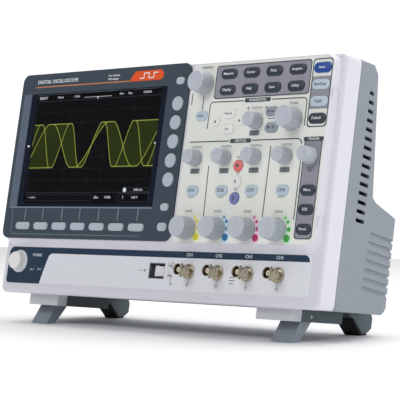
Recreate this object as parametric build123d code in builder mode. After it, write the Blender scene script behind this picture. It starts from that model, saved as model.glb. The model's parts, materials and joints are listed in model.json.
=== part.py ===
"""Bench oscilloscope with four input channels, standing on its two tilting legs.

Every piece is drawn in the instrument's own frame (x across the front, y into the
depth from the front face, z up the front face, p = distance out of the front face).
The planes below place that frame in the world, leaning back on the open legs.
"""

import os
from math import cos, radians, sin, tan

from build123d import *

# --- Driving dimensions, millimetres and degrees --------------------------------------
CASE_W = 384.0  # width over the casing
CASE_TOP = 208.5  # height of the casing's top at the front face
SEAM_Y = 19.3  # depth at which the front casing meets the rear casing
BULGE_Y = 118.5  # depth of the rearmost edge
CASE_WALL = 2.5  # wall of both casings
FRONT_WALL = 3.0  # wall behind the front face and the control panel
CORNER_R = 6.0  # corners of the casing seen from the front
RIM_R = 3.0  # rounded edge round the front face
SIDE_TAPER = 10.5  # each side of the rear casing leans inwards by this angle
REAR_CORNER_R = 13.0  # upright corners at the back
SEAM_GAP = 0.6  # shadow gap between the two casings
SEAM_GAP_DEPTH = 0.6
BASE_SLOPE = 5.0  # the underside rises towards the back
TILT = 10.55  # lean on the open legs

PANEL_P = 6.5  # the control panel stands this far out of the front face
PANEL_RIGHT = CASE_W / 2 - 8.0
PANEL_LOW = 49.5
PANEL_TOP = CASE_TOP - 2.5
PANEL_SLOPE_W = 3.5  # run of the sloping step at the panel's right edge
PANEL_SLOPE_H = 6.0  # run of the sloping step under the panel
PANEL_SLOPE_TOP = 1.4  # run of the sloping step over the panel
PANEL_R = 9.0
PANEL_BASE_R = 12.0
HOLLOW_R = 6.0
HOLLOW_MARGIN = 2.5  # wall under and over the hollow behind the panel

BEZEL_LEFT = 1.0 - CASE_W / 2
BEZEL_RIGHT = 28.8
BEZEL_LOW = 50.3
BEZEL_TOP = CASE_TOP - 1.1
BEZEL_T = 2.0
BEZEL_R = 7.5

GLASS_LEFT = -175.2
GLASS_RIGHT = 3.0
GLASS_LOW = 80.2
GLASS_TOP = 187.8
GLASS_T = 1.4
GLASS_R = 1.4
GLASS_LEDGE = 4.0  # overlap of the glass on the casing round the display opening
LCD_T = 6.0  # display module behind the opening
LCD_GAP = 0.5  # gap between the module's raised part and the opening
LCD_STEP = 0.6  # gap between the module and the glass

LABEL_T = 0.5  # label panel round the sockets
LABEL_LEFT = 6.0 - CASE_W / 2
LABEL_RIGHT = CASE_W / 2 - 11.0
LABEL_LOW = 9.0
LABEL_TOP = 43.0
LABEL_R = 3.0

CLEAR = 0.2  # gap round keys and glass
FIT = 0.05  # radial running clearance of a shaft in its hole

# Control columns and rows
COLUMN_X0 = 46.0  # first channel's column
COLUMN_PITCH = 33.1
CHANNELS = 4
TRIGGER_X = 172.8
RUN_ROW_PITCH = 14.0
TOP_ROW_Z = 195.1
SCALE_Z = 61.8
POSITION_Z = 122.4
CHANNEL_KEY_Z = 94.4

# Knobs
BIG_KNOB_R = 9.9
BIG_KNOB_P = PANEL_P + 14.0
SMALL_KNOB_R = 7.2
SMALL_KNOB_P = PANEL_P + 12.0
KNOB_TAPER = 0.9  # a knob's front is smaller by this much all round
KNOB_GAP = 0.5  # gap between a knob's skirt and the panel
SHAFT_R = 3.0
SHAFT_END = 0.8  # gap between a spindle's inner end and the board's front
BUSHING_R = SHAFT_R + 1.2
BUSHING_P = PANEL_P + 2.5
BUSHING_ROOM = 0.6  # radial room between a bushing and the knob over it
KNOB_ROOM = 1.0  # depth left between a bushing's end and the knob
ENCODER_SIDE = 12.0
ENCODER_DEPTH = 5.6

# Keys
KEY_PROUD = 1.7  # standing out of the surface round it
KEY_FLANGE = 1.0  # lip that holds a key in
FLANGE_T = 1.2
FLANGE_GAP = 0.3  # between the lip and the wall in front of it
KEY_FOOT_P = PANEL_P - FRONT_WALL - FLANGE_GAP - FLANGE_T  # inner end of a key
KEY_TRAVEL = 1.0
STRIP_W = 2.0  # web that joins the keys of one strip

# Boards
BOARD_T = 1.6
BOARD_P = KEY_FOOT_P - KEY_TRAVEL - 0.8  # front of the key board

# Power button
POWER_X, POWER_Z = -169.2, 29.2
POWER_R = 8.0
POWER_TRAVEL = 3.0
POWER_P = 5.5 + POWER_TRAVEL  # stands 5.5 out when pressed in
POWER_FLANGE = (1.5, 1.8)  # width and thickness of the lip that holds it in
POWER_RING_R = 10.5
POWER_RING_T = 1.2

# Sockets on the front
BNC_X0 = 48.3
BNC_PITCH = 32.9
BNC_Z = 25.8
BNC_P = 14.8
BNC_R = 4.85  # outside of the bayonet barrel
BNC_NECK_R = BNC_R - 0.25  # between the flange and the full ring in front of the lugs
BNC_RING_LENGTH = 4.1
BNC_BORE_R = BNC_R - 0.75
BNC_BORE_DEPTH = 9.5
BNC_FLANGE_R = BNC_R + 1.55
BNC_FLANGE_P = 2.2
BNC_CORE_R = 2.4
BNC_CORE_SINK = 1.5  # the insulator's front stands this far inside the barrel
BNC_PIN_BORE_R = 0.7
BNC_TAIL = 3.0  # behind the front wall
LUG_R = 1.0
LUG_P = 9.5  # height of the bayonet lugs
USB_X, USB_Z = 11.0, 25.4
USB_W, USB_H = 19.0, 14.0
USB_DEPTH = 16.0
USB_WALL = 0.8
TONGUE = (11.0, 9.4)
TONGUE_SHIFT = 2.7  # the tongue stands to the right of the middle
TERMINAL_X = 28.0
TERMINAL_Z = (29.9, 21.5)
TERMINAL = (2.4, 1.0)
TERMINAL_P = 3.2

# Feet
FOOT_X = CASE_W / 2 - 52.3  # middle of a foot block and its rail
FOOT_W = 39.4
FOOT_H = 10.0
BLOCK_Y0 = 8.5
RAIL_Y0 = 20.0
RAIL_Y1 = 74.0
LEG_X = FOOT_X + 6.9
LEG_W = 21.0
LEG_SIDE_GAP = 0.4
SLOT_WALL = 0.8
SLOT_END = 5.0
PIN_Y = 33.5
PIN_DROP = 5.5  # pin axis below the underside
PIN_R = 1.5
KNUCKLE_R = 4.4
POST_X = FOOT_X + 7.3
POST_W = 18.0
POST_Y1 = BULGE_Y + 1.0
POST_Y0 = POST_Y1 - 33.5
PAD_T = 1.8
SCREW_X = FOOT_X - 12.3  # screws through the rails into the casing
SCREW_YS = (44.0, 64.0)
SCREW_R = 1.5
SCREW_HEAD_R = 2.8
SCREW_HEAD_T = 2.0
SCREW_SINK = 3.0
SCREW_LENGTH = 12.0
PAD_BACK_Y = POST_Y1 - 6.0  # where the rear pads stand
PAD_FRONT_Y = PAD_BACK_Y - 6.7
PAD_KNEE_Y = PAD_FRONT_Y - 14.0  # upper end of the pad, which wraps up the post's front
TIP_Y0 = 13.2  # leg tip on the table
TIP_Y1 = 23.7
TIP_Z = -26.8

# Rear casing, depth and height of its corners
SHOULDER_Y = 42.0
SHOULDER_END = (50.4, CASE_TOP - 6.5)
WAIST = (65.0, 101.5)
BULGE_TOP_Z = 90.5
BULGE_LOW = (BULGE_Y - 5.9, 16.0)
BULGE_FOOT_Y = BULGE_Y - 14.5
VENTS = 15
VENT_PITCH = 7.55
VENT_TOP_Z = 184.6
VENT_H = 3.3
VENT_Y0 = 39.0
VENT_MAX_Y = 54.0
VENT_MARGIN = 6.5
GROOVES = 7
GROOVE_PITCH = 7.6
GROOVE_TOP_Z = 71.8
GROOVE_H = 3.0
GROOVE_DEPTH = 1.1
GROOVE_Y0 = 68.0
GROOVE_X0 = CASE_W / 2 - 42.0  # the grooves stop this far from the middle at the back

# Inside
FAN_X, FAN_Z = 95.0, 50.0
FAN_SIDE = 60.0
FAN_T = 15.0
FAN_Y1 = BULGE_Y - 10.5
FAN_R = 27.5
FAN_TIP_GAP = 1.0
FAN_HUB_R = 11.0
FAN_SPOKE = 3.0
FAN_BACK_T = 1.6  # spokes and motor seat
FAN_CAP_T = 1.0  # closes the hub over the shaft
FAN_SHAFT_R = 1.5
FAN_BLADES = 7
GRILLE = (48.0, 3.0)  # one slot
GRILLE_SLOTS, GRILLE_PITCH = 8, 6.0
INLET_X, INLET_Z = -130.0, 48.0
INLET_W, INLET_H, INLET_DEPTH = 28.0, 22.0, 26.0
INLET_CAVITY = (24.0, 17.0, 19.0)
BLADE = (2.0, 4.0, 15.0)
BLADE_PITCH = 7.0
PORTS_X, PORTS_Z = -40.0, 48.0
PORTS_W, PORTS_H, PORTS_DEPTH = 72.0, 24.0, 21.0
PORTS_SINK = 1.0  # the port block stands this far inside the casing's back
PORT_DEPTH = 13.0
NETWORK_PORT, NETWORK_X = (16.0, 13.0), -22.0
DEVICE_PORT, DEVICE_X = (12.0, 11.0), 2.0
OUTPUT_R, OUTPUT_X = 5.2, 24.0
CHASSIS_Y = 22.0
CHASSIS_T = 1.2
CHASSIS_MARGIN = 16.0  # between the plate and the casing, all round
CABLE_SLOT = (30.0, 60.0)
CABLE_SLOT_X = 75.0
MAIN_Y = 30.0
MAIN_BOARD = (270.0, 150.0)
MAIN_MIDDLE = (20.0, 100.0)
CHIP_T = 2.4
CHIPS = ((-20.0, 120.0, 27.0), (60.0, 120.0, 23.0))  # x, z and side
INPUT_CHIP = (12.0, 10.0)
INPUT_CHIP_PITCH = 24.0
SUPPLY_Y = 62.0
SUPPLY_BOARD = (120.0, 66.0)
SUPPLY_MIDDLE = (-95.0, 52.0)
TRANSFORMER = (30.0, 26.0)
CAPACITOR_R, CAPACITOR_PITCH = 8.0, 22.0
TALL_PARTS = 20.0  # height of the supply's tall components

# --- Placing --------------------------------------------------------------------------
GROUND_SLOPE = tan(radians(TILT))
BASE_RISE = tan(radians(BASE_SLOPE))
UNDER_Z0 = -0.3  # underside carried forward to the front face
ORIGIN_Y = -60.8  # puts the middle of the whole instrument's box over the origin
ORIGIN_Z = (TIP_Y0 * GROUND_SLOPE - TIP_Z) * cos(radians(TILT))

inst = Plane(
    origin=(0, ORIGIN_Y, ORIGIN_Z),
    x_dir=(1, 0, 0),
    z_dir=(0, sin(radians(TILT)), cos(radians(TILT))),
)
front = Plane(origin=inst.origin, x_dir=inst.x_dir, z_dir=inst.y_dir * -1)
side = Plane(origin=inst.origin, x_dir=inst.y_dir, z_dir=inst.x_dir)
OUTWARDS = Axis(front.origin, front.z_dir)
SIDES = (-1, 1)


def underside(y):
    """Height of the casing's underside at depth y."""
    return UNDER_Z0 + BASE_RISE * y


def ground(y):
    """Height of the table at depth y."""
    return TIP_Z + GROUND_SLOPE * (y - TIP_Y0)


def screw_seats():
    """Planes under the screw heads, facing out of the rails' lower faces."""
    down = inst.y_dir * sin(radians(BASE_SLOPE)) - inst.z_dir * cos(radians(BASE_SLOPE))
    depths = [(y, underside(y) - FOOT_H + SCREW_SINK) for y in SCREW_YS]
    spots = [inst.from_local_coords((sign * SCREW_X, y, z)) for sign in SIDES for y, z in depths]
    return [Plane(origin=spot, x_dir=inst.x_dir, z_dir=down) for spot in spots]


def side_at(x):
    """Plane of a depth and height profile at x, drawn outwards along +x."""
    return side.offset(x)


def column(i):
    """Middle of channel i's column."""
    return COLUMN_X0 + COLUMN_PITCH * i


def save(builder, name):
    """Label a finished piece and write it."""
    builder.part.label = name
    export_step(builder.part, f"parts/{name}.step")


os.makedirs("parts", exist_ok=True)

# --- Controls: where they are and how large -------------------------------------------
BIG, SMALL = (BIG_KNOB_R, BIG_KNOB_P), (SMALL_KNOB_R, SMALL_KNOB_P)
knobs = {
    "variable_knob": (COLUMN_X0 + 0.4, 187.6, BIG),
    "horizontal_position_knob": (109.6, 152.8, SMALL),
    "horizontal_scale_knob": (148.5, 153.2, BIG),
    "trigger_level_knob": (TRIGGER_X - 1.0, POSITION_Z, SMALL),
}
for i in range(CHANNELS):
    knobs[f"position_knob_{i + 1}"] = (column(i), POSITION_Z, SMALL)
    knobs[f"scale_knob_{i + 1}"] = (column(i), SCALE_Z, BIG)

FUNCTION_X = [72.9 + 24.95 * i for i in range(4)]
RUN_Z = [TOP_ROW_Z - RUN_ROW_PITCH * i for i in range(4)]
LARGE_KEY, CHANNEL_KEY, TRIGGER_KEY = (17.5, 8.6), (13.4, 8.6), (15.2, 8.6)
ROUND_KEY = (10.4, 10.4)

# name: [(x, z, (width, height)), ...]; the keys of one name move together
panel_keys = {
    "select_key": [(46.6, 159.4, CHANNEL_KEY)],
    "function_keys": [(x, z, LARGE_KEY) for x in FUNCTION_X for z in RUN_Z[:2]],
    "autoset_key": [(TRIGGER_X + 0.8, RUN_Z[0], LARGE_KEY)],
    "run_stop_key": [(TRIGGER_X + 0.8, RUN_Z[1], LARGE_KEY)],
    "single_key": [(TRIGGER_X + 0.8, RUN_Z[2], LARGE_KEY)],
    "default_key": [(TRIGGER_X + 0.8, RUN_Z[3], LARGE_KEY)],
    "arrow_keys": [
        (78.2, 160.4, (14.0, 8.0)),
        (78.2, 147.0, (14.0, 8.0)),
        (64.2, 153.7, (9.0, 8.0)),
        (91.6, 153.7, (9.0, 8.0)),
    ],
    "zoom_key": [(125.0, 160.6, (12.4, 8.0))],
    "play_key": [(126.6, 147.0, (14.0, 8.6))],
    "math_key": [(95.4, 115.3, ROUND_KEY)],
    "reference_key": [(95.4, 101.6, ROUND_KEY)],
    "bus_key": [(95.4, 87.9, ROUND_KEY)],
    "trigger_menu_key": [(TRIGGER_X, 94.4, TRIGGER_KEY)],
    "trigger_half_key": [(TRIGGER_X, 78.6, TRIGGER_KEY)],
    "trigger_force_key": [(TRIGGER_X, 62.7, TRIGGER_KEY)],
}
for i in range(CHANNELS):
    panel_keys[f"channel_key_{i + 1}"] = [(column(i) + 0.8, CHANNEL_KEY_Z, CHANNEL_KEY)]

SOFT_X0, SOFT_PITCH, SOFT_Z = -162.9, 24.92, 61.7
SIDE_KEY_X, SIDE_KEY_PITCH, SIDE_KEY_TOP = 18.2, 16.85, 171.3
SOFT_COUNT, SIDE_KEY_COUNT = 7, 5
SOFT_KEY, SIDE_KEY = (18.8, 6.8), (12.6, 12.6)
END_KEYS = [(191.6, (9.4, 6.6)), (79.8, (9.4, 6.6)), (62.5, (10.8, 7.4))]
SIDE_KEY_ZS = [SIDE_KEY_TOP - SIDE_KEY_PITCH * i for i in range(SIDE_KEY_COUNT)]
bezel_keys = {
    "lower_soft_keys": [(SOFT_X0 + SOFT_PITCH * i, SOFT_Z, SOFT_KEY) for i in range(SOFT_COUNT)],
    "right_soft_keys": [(SIDE_KEY_X, z, SIDE_KEY) for z in SIDE_KEY_ZS]
    + [(SIDE_KEY_X, z, size) for z, size in END_KEYS],
}
KEY_CORNER = 0.46  # corner radius as a share of a key's height
KEY_EDGE_R = 0.5


def key_outline(x, z, size, grow=0.0, mode=Mode.ADD):
    """One key's outline: a circle when it is as wide as it is high, else round corners."""
    w, h = size[0] + 2 * grow, size[1] + 2 * grow
    with Locations((x, z)):
        if size[0] == size[1]:
            Circle(w / 2, mode=mode)
        else:
            RectangleRounded(w, h, KEY_CORNER * h, mode=mode)


def strip_web(keys, across, along):
    """The web behind the keys of one strip, grown past the outer keys' middles."""
    xs, zs = [k[0] for k in keys], [k[1] for k in keys]
    with Locations(((min(xs) + max(xs)) / 2, (min(zs) + max(zs)) / 2)):
        Rectangle(max(xs) - min(xs) + across, max(zs) - min(zs) + along)


# --- Front casing ---------------------------------------------------------------------
PANEL_IN_P = PANEL_P - FRONT_WALL
PANEL_BASE_LOW, PANEL_BASE_TOP = PANEL_LOW - PANEL_SLOPE_H, PANEL_TOP + PANEL_SLOPE_TOP
HOLLOW_LOW, HOLLOW_TOP = PANEL_LOW + HOLLOW_MARGIN, PANEL_TOP - HOLLOW_MARGIN
GLASS_MID = ((GLASS_LEFT + GLASS_RIGHT) / 2, (GLASS_LOW + GLASS_TOP) / 2)
GLASS_W, GLASS_H = GLASS_RIGHT - GLASS_LEFT, GLASS_TOP - GLASS_LOW
SLOT_ROOM = 2 * (KEY_FLANGE + FLANGE_GAP)  # a slot is this much wider than its keys
SOFT_SLOT = (SOFT_PITCH * (SOFT_COUNT - 1) + SOFT_KEY[0] + SLOT_ROOM, SOFT_KEY[1] + SLOT_ROOM)
SIDE_SLOT_LOW = END_KEYS[-1][0] - END_KEYS[-1][1][1] / 2 - SLOT_ROOM / 2
SIDE_SLOT_TOP = END_KEYS[0][0] + END_KEYS[0][1][1] / 2 + SLOT_ROOM / 2
SIDE_SLOT_W = SIDE_KEY[0] + SLOT_ROOM
SLOT_R = 2.0  # corners of the display opening and the slots


def case_outline():
    """Both casings seen from the front."""
    with Locations((0, (CASE_TOP + UNDER_Z0) / 2)):
        RectangleRounded(CASE_W, CASE_TOP - UNDER_Z0, CORNER_R)


def panel_outline(left, right, low, top, radius):
    """The raised panel or the hollow behind it."""
    with Locations(((left + right) / 2, (low + top) / 2)):
        RectangleRounded(right - left, top - low, radius)


with BuildPart() as front_case:
    with BuildSketch(front.offset(-SEAM_Y)):
        case_outline()
    extrude(amount=SEAM_Y)
    rim = front_case.faces().sort_by(OUTWARDS)[-1]
    fillet(rim.outer_wire().edges(), radius=RIM_R)
    with BuildSketch(side):
        with BuildLine():
            Polyline(
                (RIM_R, UNDER_Z0 - 1),
                (SEAM_Y + 1, UNDER_Z0 - 1),
                (SEAM_Y + 1, underside(SEAM_Y + 1)),
                (RIM_R, underside(RIM_R)),
                close=True,
            )
        make_face()
    extrude(amount=CASE_W / 2, both=True, mode=Mode.SUBTRACT)
    with BuildSketch(front.offset(-RIM_R)):
        panel_outline(BEZEL_LEFT, PANEL_RIGHT + PANEL_SLOPE_W, PANEL_BASE_LOW, PANEL_BASE_TOP, PANEL_BASE_R)
    extrude(amount=RIM_R)
    with BuildSketch(front):
        panel_outline(BEZEL_LEFT, PANEL_RIGHT + PANEL_SLOPE_W, PANEL_BASE_LOW, PANEL_BASE_TOP, PANEL_BASE_R)
    with BuildSketch(front.offset(PANEL_P)):
        panel_outline(BEZEL_LEFT, PANEL_RIGHT, PANEL_LOW, PANEL_TOP, PANEL_R)
    loft(ruled=True)
    # hollow behind the front face
    with BuildSketch(front.offset(-SEAM_Y)):
        hollow_h = CASE_TOP - underside(SEAM_Y) - 2 * CASE_WALL
        with Locations((0, (CASE_TOP + underside(SEAM_Y)) / 2)):
            RectangleRounded(CASE_W - 2 * CASE_WALL, hollow_h, CORNER_R - CASE_WALL)
    extrude(amount=SEAM_Y - FRONT_WALL, mode=Mode.SUBTRACT)
    # hollow behind the raised panel
    with BuildSketch(front.offset(-FRONT_WALL)):
        panel_outline(BEZEL_LEFT + FRONT_WALL, PANEL_RIGHT, HOLLOW_LOW, HOLLOW_TOP, HOLLOW_R)
    extrude(amount=FRONT_WALL + PANEL_IN_P, mode=Mode.SUBTRACT)
    # display opening, the two slots for the bezel's keys and the panel's key holes
    with BuildSketch(front.offset(PANEL_IN_P)):
        with Locations(GLASS_MID):
            RectangleRounded(GLASS_W - 2 * GLASS_LEDGE, GLASS_H - 2 * GLASS_LEDGE, SLOT_R)
        with Locations((SOFT_X0 + SOFT_PITCH * (SOFT_COUNT - 1) / 2, SOFT_Z)):
            RectangleRounded(*SOFT_SLOT, SLOT_R)
        with Locations((SIDE_KEY_X, (SIDE_SLOT_LOW + SIDE_SLOT_TOP) / 2)):
            RectangleRounded(SIDE_SLOT_W, SIDE_SLOT_TOP - SIDE_SLOT_LOW, SLOT_R)
        for keys in panel_keys.values():
            for x, z, size in keys:
                key_outline(x, z, size, CLEAR)
        for x, z, _ in knobs.values():
            with Locations((x, z)):
                Circle(BUSHING_R + CLEAR)
    extrude(amount=FRONT_WALL, mode=Mode.SUBTRACT)
    # power button, sockets and terminals through the lower front
    with BuildSketch(front.offset(-FRONT_WALL)):
        with Locations((POWER_X, POWER_Z)):
            Circle(POWER_R + FIT)
        with Locations(*[(BNC_X0 + BNC_PITCH * i, BNC_Z) for i in range(CHANNELS)]):
            Circle(BNC_R)
        with Locations((USB_X, USB_Z)):
            Rectangle(USB_W, USB_H)
        with Locations(*[(TERMINAL_X, z) for z in TERMINAL_Z]):
            Rectangle(*TERMINAL)
    extrude(amount=FRONT_WALL, mode=Mode.SUBTRACT)
save(front_case, "front_case")

# --- Display ---------------------------------------------------------------------------
with BuildPart() as display_bezel:
    with BuildSketch(front.offset(PANEL_P)):
        with Locations(((BEZEL_LEFT + BEZEL_RIGHT) / 2, (BEZEL_LOW + BEZEL_TOP) / 2)):
            RectangleRounded(BEZEL_RIGHT - BEZEL_LEFT, BEZEL_TOP - BEZEL_LOW, BEZEL_R)
        with Locations(GLASS_MID):
            RectangleRounded(GLASS_W + 2 * CLEAR, GLASS_H + 2 * CLEAR, GLASS_R + CLEAR, mode=Mode.SUBTRACT)
        for keys in bezel_keys.values():
            for x, z, size in keys:
                key_outline(x, z, size, CLEAR, mode=Mode.SUBTRACT)
    extrude(amount=BEZEL_T)
save(display_bezel, "display_bezel")

with BuildPart() as display_glass:
    with BuildSketch(front.offset(PANEL_P)):
        with Locations(GLASS_MID):
            RectangleRounded(GLASS_W, GLASS_H, GLASS_R)
    extrude(amount=GLASS_T)
save(display_glass, "display_glass")

with BuildPart() as display_module:
    with BuildSketch(front.offset(PANEL_IN_P - LCD_T)):
        with Locations(GLASS_MID):
            Rectangle(GLASS_W, GLASS_H)
    extrude(amount=LCD_T)
    with BuildSketch(front.offset(PANEL_IN_P)):
        with Locations(GLASS_MID):
            inset = 2 * (GLASS_LEDGE + LCD_GAP)
            RectangleRounded(GLASS_W - inset, GLASS_H - inset, SLOT_R)
    extrude(amount=FRONT_WALL - LCD_STEP)
save(display_module, "display_module")

# --- Label panel, power ring and sockets on the lower front ----------------------------
with BuildPart() as label_panel:
    with BuildSketch(front):
        panel_outline(LABEL_LEFT, LABEL_RIGHT, LABEL_LOW, LABEL_TOP, LABEL_R)
        with Locations((POWER_X, POWER_Z)):
            Circle(POWER_R + CLEAR, mode=Mode.SUBTRACT)
        with Locations(*[(BNC_X0 + BNC_PITCH * i, BNC_Z) for i in range(CHANNELS)]):
            Circle(BNC_FLANGE_R + CLEAR, mode=Mode.SUBTRACT)
        with Locations((USB_X, USB_Z)):
            Rectangle(USB_W, USB_H, mode=Mode.SUBTRACT)
        with Locations(*[(TERMINAL_X, z) for z in TERMINAL_Z]):
            Rectangle(*TERMINAL, mode=Mode.SUBTRACT)
    extrude(amount=LABEL_T)
    with BuildSketch(front.offset(LABEL_T)):
        with Locations((POWER_X, POWER_Z)):
            Circle(POWER_RING_R)
            Circle(POWER_R + CLEAR, mode=Mode.SUBTRACT)
    extrude(amount=POWER_RING_T)
save(label_panel, "label_panel")

with BuildPart() as power_button:
    with BuildSketch(front.offset(-FRONT_WALL - CLEAR - POWER_FLANGE[1])):
        with Locations((POWER_X, POWER_Z)):
            Circle(POWER_R + POWER_FLANGE[0])
    extrude(amount=POWER_FLANGE[1])
    with BuildSketch(front.offset(-FRONT_WALL - CLEAR - POWER_FLANGE[1] / 2)):
        with Locations((POWER_X, POWER_Z)):
            Circle(POWER_R)
    extrude(amount=POWER_P + FRONT_WALL + CLEAR + POWER_FLANGE[1] / 2)
    fillet(power_button.edges().sort_by(OUTWARDS)[-1], radius=1.0)
save(power_button, "power_button")

with BuildPart() as input_sockets:
    for i in range(CHANNELS):
        spot = (BNC_X0 + BNC_PITCH * i, BNC_Z)
        with BuildSketch(front.offset(-FRONT_WALL - BNC_TAIL)):
            with Locations(spot):
                Circle(BNC_R)
        extrude(amount=BNC_FLANGE_P + FRONT_WALL + BNC_TAIL)
        with BuildSketch(front):
            with Locations(spot):
                Circle(BNC_NECK_R)
        extrude(amount=BNC_P)
        with BuildSketch(front.offset(BNC_P - BNC_RING_LENGTH)):
            with Locations(spot):
                Circle(BNC_R)
        extrude(amount=BNC_RING_LENGTH)
        with BuildSketch(front):
            with Locations(spot):
                Circle(BNC_FLANGE_R)
        extrude(amount=BNC_FLANGE_P)
        with BuildSketch(front.offset(LUG_P - LUG_R)):
            with Locations(spot):
                Rectangle(2 * LUG_R, 2 * (BNC_R + LUG_R))
        extrude(amount=2 * LUG_R)
        with BuildSketch(front.offset(BNC_P)):
            with Locations(spot):
                Circle(BNC_BORE_R)
        extrude(amount=-BNC_BORE_DEPTH, mode=Mode.SUBTRACT)
        with BuildSketch(front.offset(BNC_P)):
            with Locations(spot):
                Circle(BNC_CORE_R)
        extrude(amount=-BNC_P - FRONT_WALL - BNC_TAIL, mode=Mode.SUBTRACT)
save(input_sockets, "input_sockets")

with BuildPart() as socket_cores:
    for i in range(CHANNELS):
        spot = (BNC_X0 + BNC_PITCH * i, BNC_Z)
        with BuildSketch(front.offset(-FRONT_WALL - BNC_TAIL)):
            with Locations(spot):
                Circle(BNC_CORE_R)
        extrude(amount=BNC_P + FRONT_WALL + BNC_TAIL - BNC_CORE_SINK)
        with BuildSketch(front.offset(BNC_P - BNC_CORE_SINK)):
            with Locations(spot):
                Circle(BNC_PIN_BORE_R)
        extrude(amount=BNC_CORE_SINK - BNC_BORE_DEPTH, mode=Mode.SUBTRACT)
        with BuildSketch(front.offset(-FRONT_WALL - BNC_TAIL)):
            with Locations(spot):
                Circle(BNC_PIN_BORE_R)
        extrude(amount=-BNC_TAIL)
save(socket_cores, "socket_cores")

with BuildPart() as usb_socket:
    with BuildSketch(front.offset(LABEL_T)):
        with Locations((USB_X, USB_Z)):
            Rectangle(USB_W, USB_H)
            Rectangle(USB_W - 2 * USB_WALL, USB_H - 2 * USB_WALL, mode=Mode.SUBTRACT)
    extrude(amount=-USB_DEPTH)
    with BuildSketch(front.offset(LABEL_T - USB_DEPTH)):
        with Locations((USB_X, USB_Z)):
            Rectangle(USB_W, USB_H)
    extrude(amount=USB_WALL)
    with BuildSketch(front.offset(LABEL_T - USB_DEPTH)):
        with Locations((USB_X + TONGUE_SHIFT, USB_Z)):
            Rectangle(*TONGUE)
    extrude(amount=USB_DEPTH - 2 * USB_WALL)
save(usb_socket, "usb_socket")

with BuildPart() as probe_terminals:
    for z in TERMINAL_Z:
        with BuildSketch(front.offset(-FRONT_WALL - TERMINAL_P)):
            with Locations((TERMINAL_X, z)):
                Rectangle(*TERMINAL)
        extrude(amount=FRONT_WALL + 2 * TERMINAL_P)
save(probe_terminals, "probe_terminals")

# --- Keys -------------------------------------------------------------------------------
for name, keys in panel_keys.items():
    with BuildPart() as key_set:
        with BuildSketch(front.offset(KEY_FOOT_P)):
            for x, z, size in keys:
                key_outline(x, z, size)
        extrude(amount=PANEL_P + KEY_PROUD - KEY_FOOT_P)
        top_edges = key_set.faces().sort_by(OUTWARDS)[-len(keys):].edges()
        fillet(top_edges, radius=KEY_EDGE_R)
        with BuildSketch(front.offset(KEY_FOOT_P)):
            for x, z, size in keys:
                key_outline(x, z, size, KEY_FLANGE)
            if len(keys) > 1:
                strip_web(keys, 0, STRIP_W)
        extrude(amount=FLANGE_T)
    save(key_set, name)

for name, keys in bezel_keys.items():
    with BuildPart() as key_set:
        with BuildSketch(front.offset(KEY_FOOT_P)):
            for x, z, size in keys:
                key_outline(x, z, size)
        extrude(amount=PANEL_P + BEZEL_T + KEY_PROUD - KEY_FOOT_P)
        top_edges = key_set.faces().sort_by(OUTWARDS)[-len(keys):].edges()
        fillet(top_edges, radius=KEY_EDGE_R)
        with BuildSketch(front.offset(PANEL_P - CLEAR)):
            for x, z, size in keys:
                key_outline(x, z, size, KEY_FLANGE)
            strip_web(keys, 2 * STRIP_W, 2 * STRIP_W)
        extrude(amount=-FLANGE_T)
    save(key_set, name)

# --- Knobs and their encoders -----------------------------------------------------------
for name, (x, z, (radius, reach)) in knobs.items():
    skirt_p = PANEL_P + KNOB_GAP
    with BuildPart() as knob:
        with BuildSketch(front.offset(skirt_p)):
            with Locations((x, z)):
                Circle(radius)
        with BuildSketch(front.offset(reach)):
            with Locations((x, z)):
                Circle(radius - KNOB_TAPER)
        loft()
        fillet(knob.edges().sort_by(OUTWARDS)[-1], radius=1.0)
        with BuildSketch(front.offset(skirt_p)):
            with Locations((x, z)):
                Circle(BUSHING_R + BUSHING_ROOM)
        extrude(amount=BUSHING_P + KNOB_ROOM - skirt_p, mode=Mode.SUBTRACT)
        with BuildSketch(front.offset(BUSHING_P + KNOB_ROOM)):
            with Locations((x, z)):
                Circle(SHAFT_R)
        extrude(amount=BOARD_P + SHAFT_END - BUSHING_P - KNOB_ROOM)
    save(knob, name)

with BuildPart() as encoders:
    for x, z, _ in knobs.values():
        with BuildSketch(front.offset(BOARD_P - BOARD_T - ENCODER_DEPTH)):
            with Locations((x, z)):
                Rectangle(ENCODER_SIDE, ENCODER_SIDE)
        extrude(amount=ENCODER_DEPTH)
        with BuildSketch(front.offset(BOARD_P - BOARD_T)):
            with Locations((x, z)):
                Circle(BUSHING_R)
        extrude(amount=BUSHING_P - BOARD_P + BOARD_T)
        with BuildSketch(front.offset(BUSHING_P)):
            with Locations((x, z)):
                Circle(SHAFT_R + FIT)
        extrude(amount=BOARD_P - BUSHING_P, mode=Mode.SUBTRACT)
save(encoders, "encoders")

# --- Boards -----------------------------------------------------------------------------
KEY_BOARD_LOW, KEY_BOARD_TOP = HOLLOW_LOW + 1.0, HOLLOW_TOP - 1.0
KEY_BOARD_X = (GLASS_RIGHT + 3.5, PANEL_RIGHT - 1.0)
SOFT_BOARD_X = (SOFT_X0 - 19.1, GLASS_RIGHT + 9.0)
SOFT_BOARD_TOP = GLASS_LOW - 4.2
with BuildPart() as key_board:
    with BuildSketch(front.offset(BOARD_P - BOARD_T)):
        panel_outline(*KEY_BOARD_X, KEY_BOARD_LOW, KEY_BOARD_TOP, HOLLOW_R)
        panel_outline(*SOFT_BOARD_X, KEY_BOARD_LOW, SOFT_BOARD_TOP, HOLLOW_R)
        for x, z, _ in knobs.values():
            with Locations((x, z)):
                Circle(BUSHING_R, mode=Mode.SUBTRACT)
    extrude(amount=BOARD_T)
save(key_board, "key_board")

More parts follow.
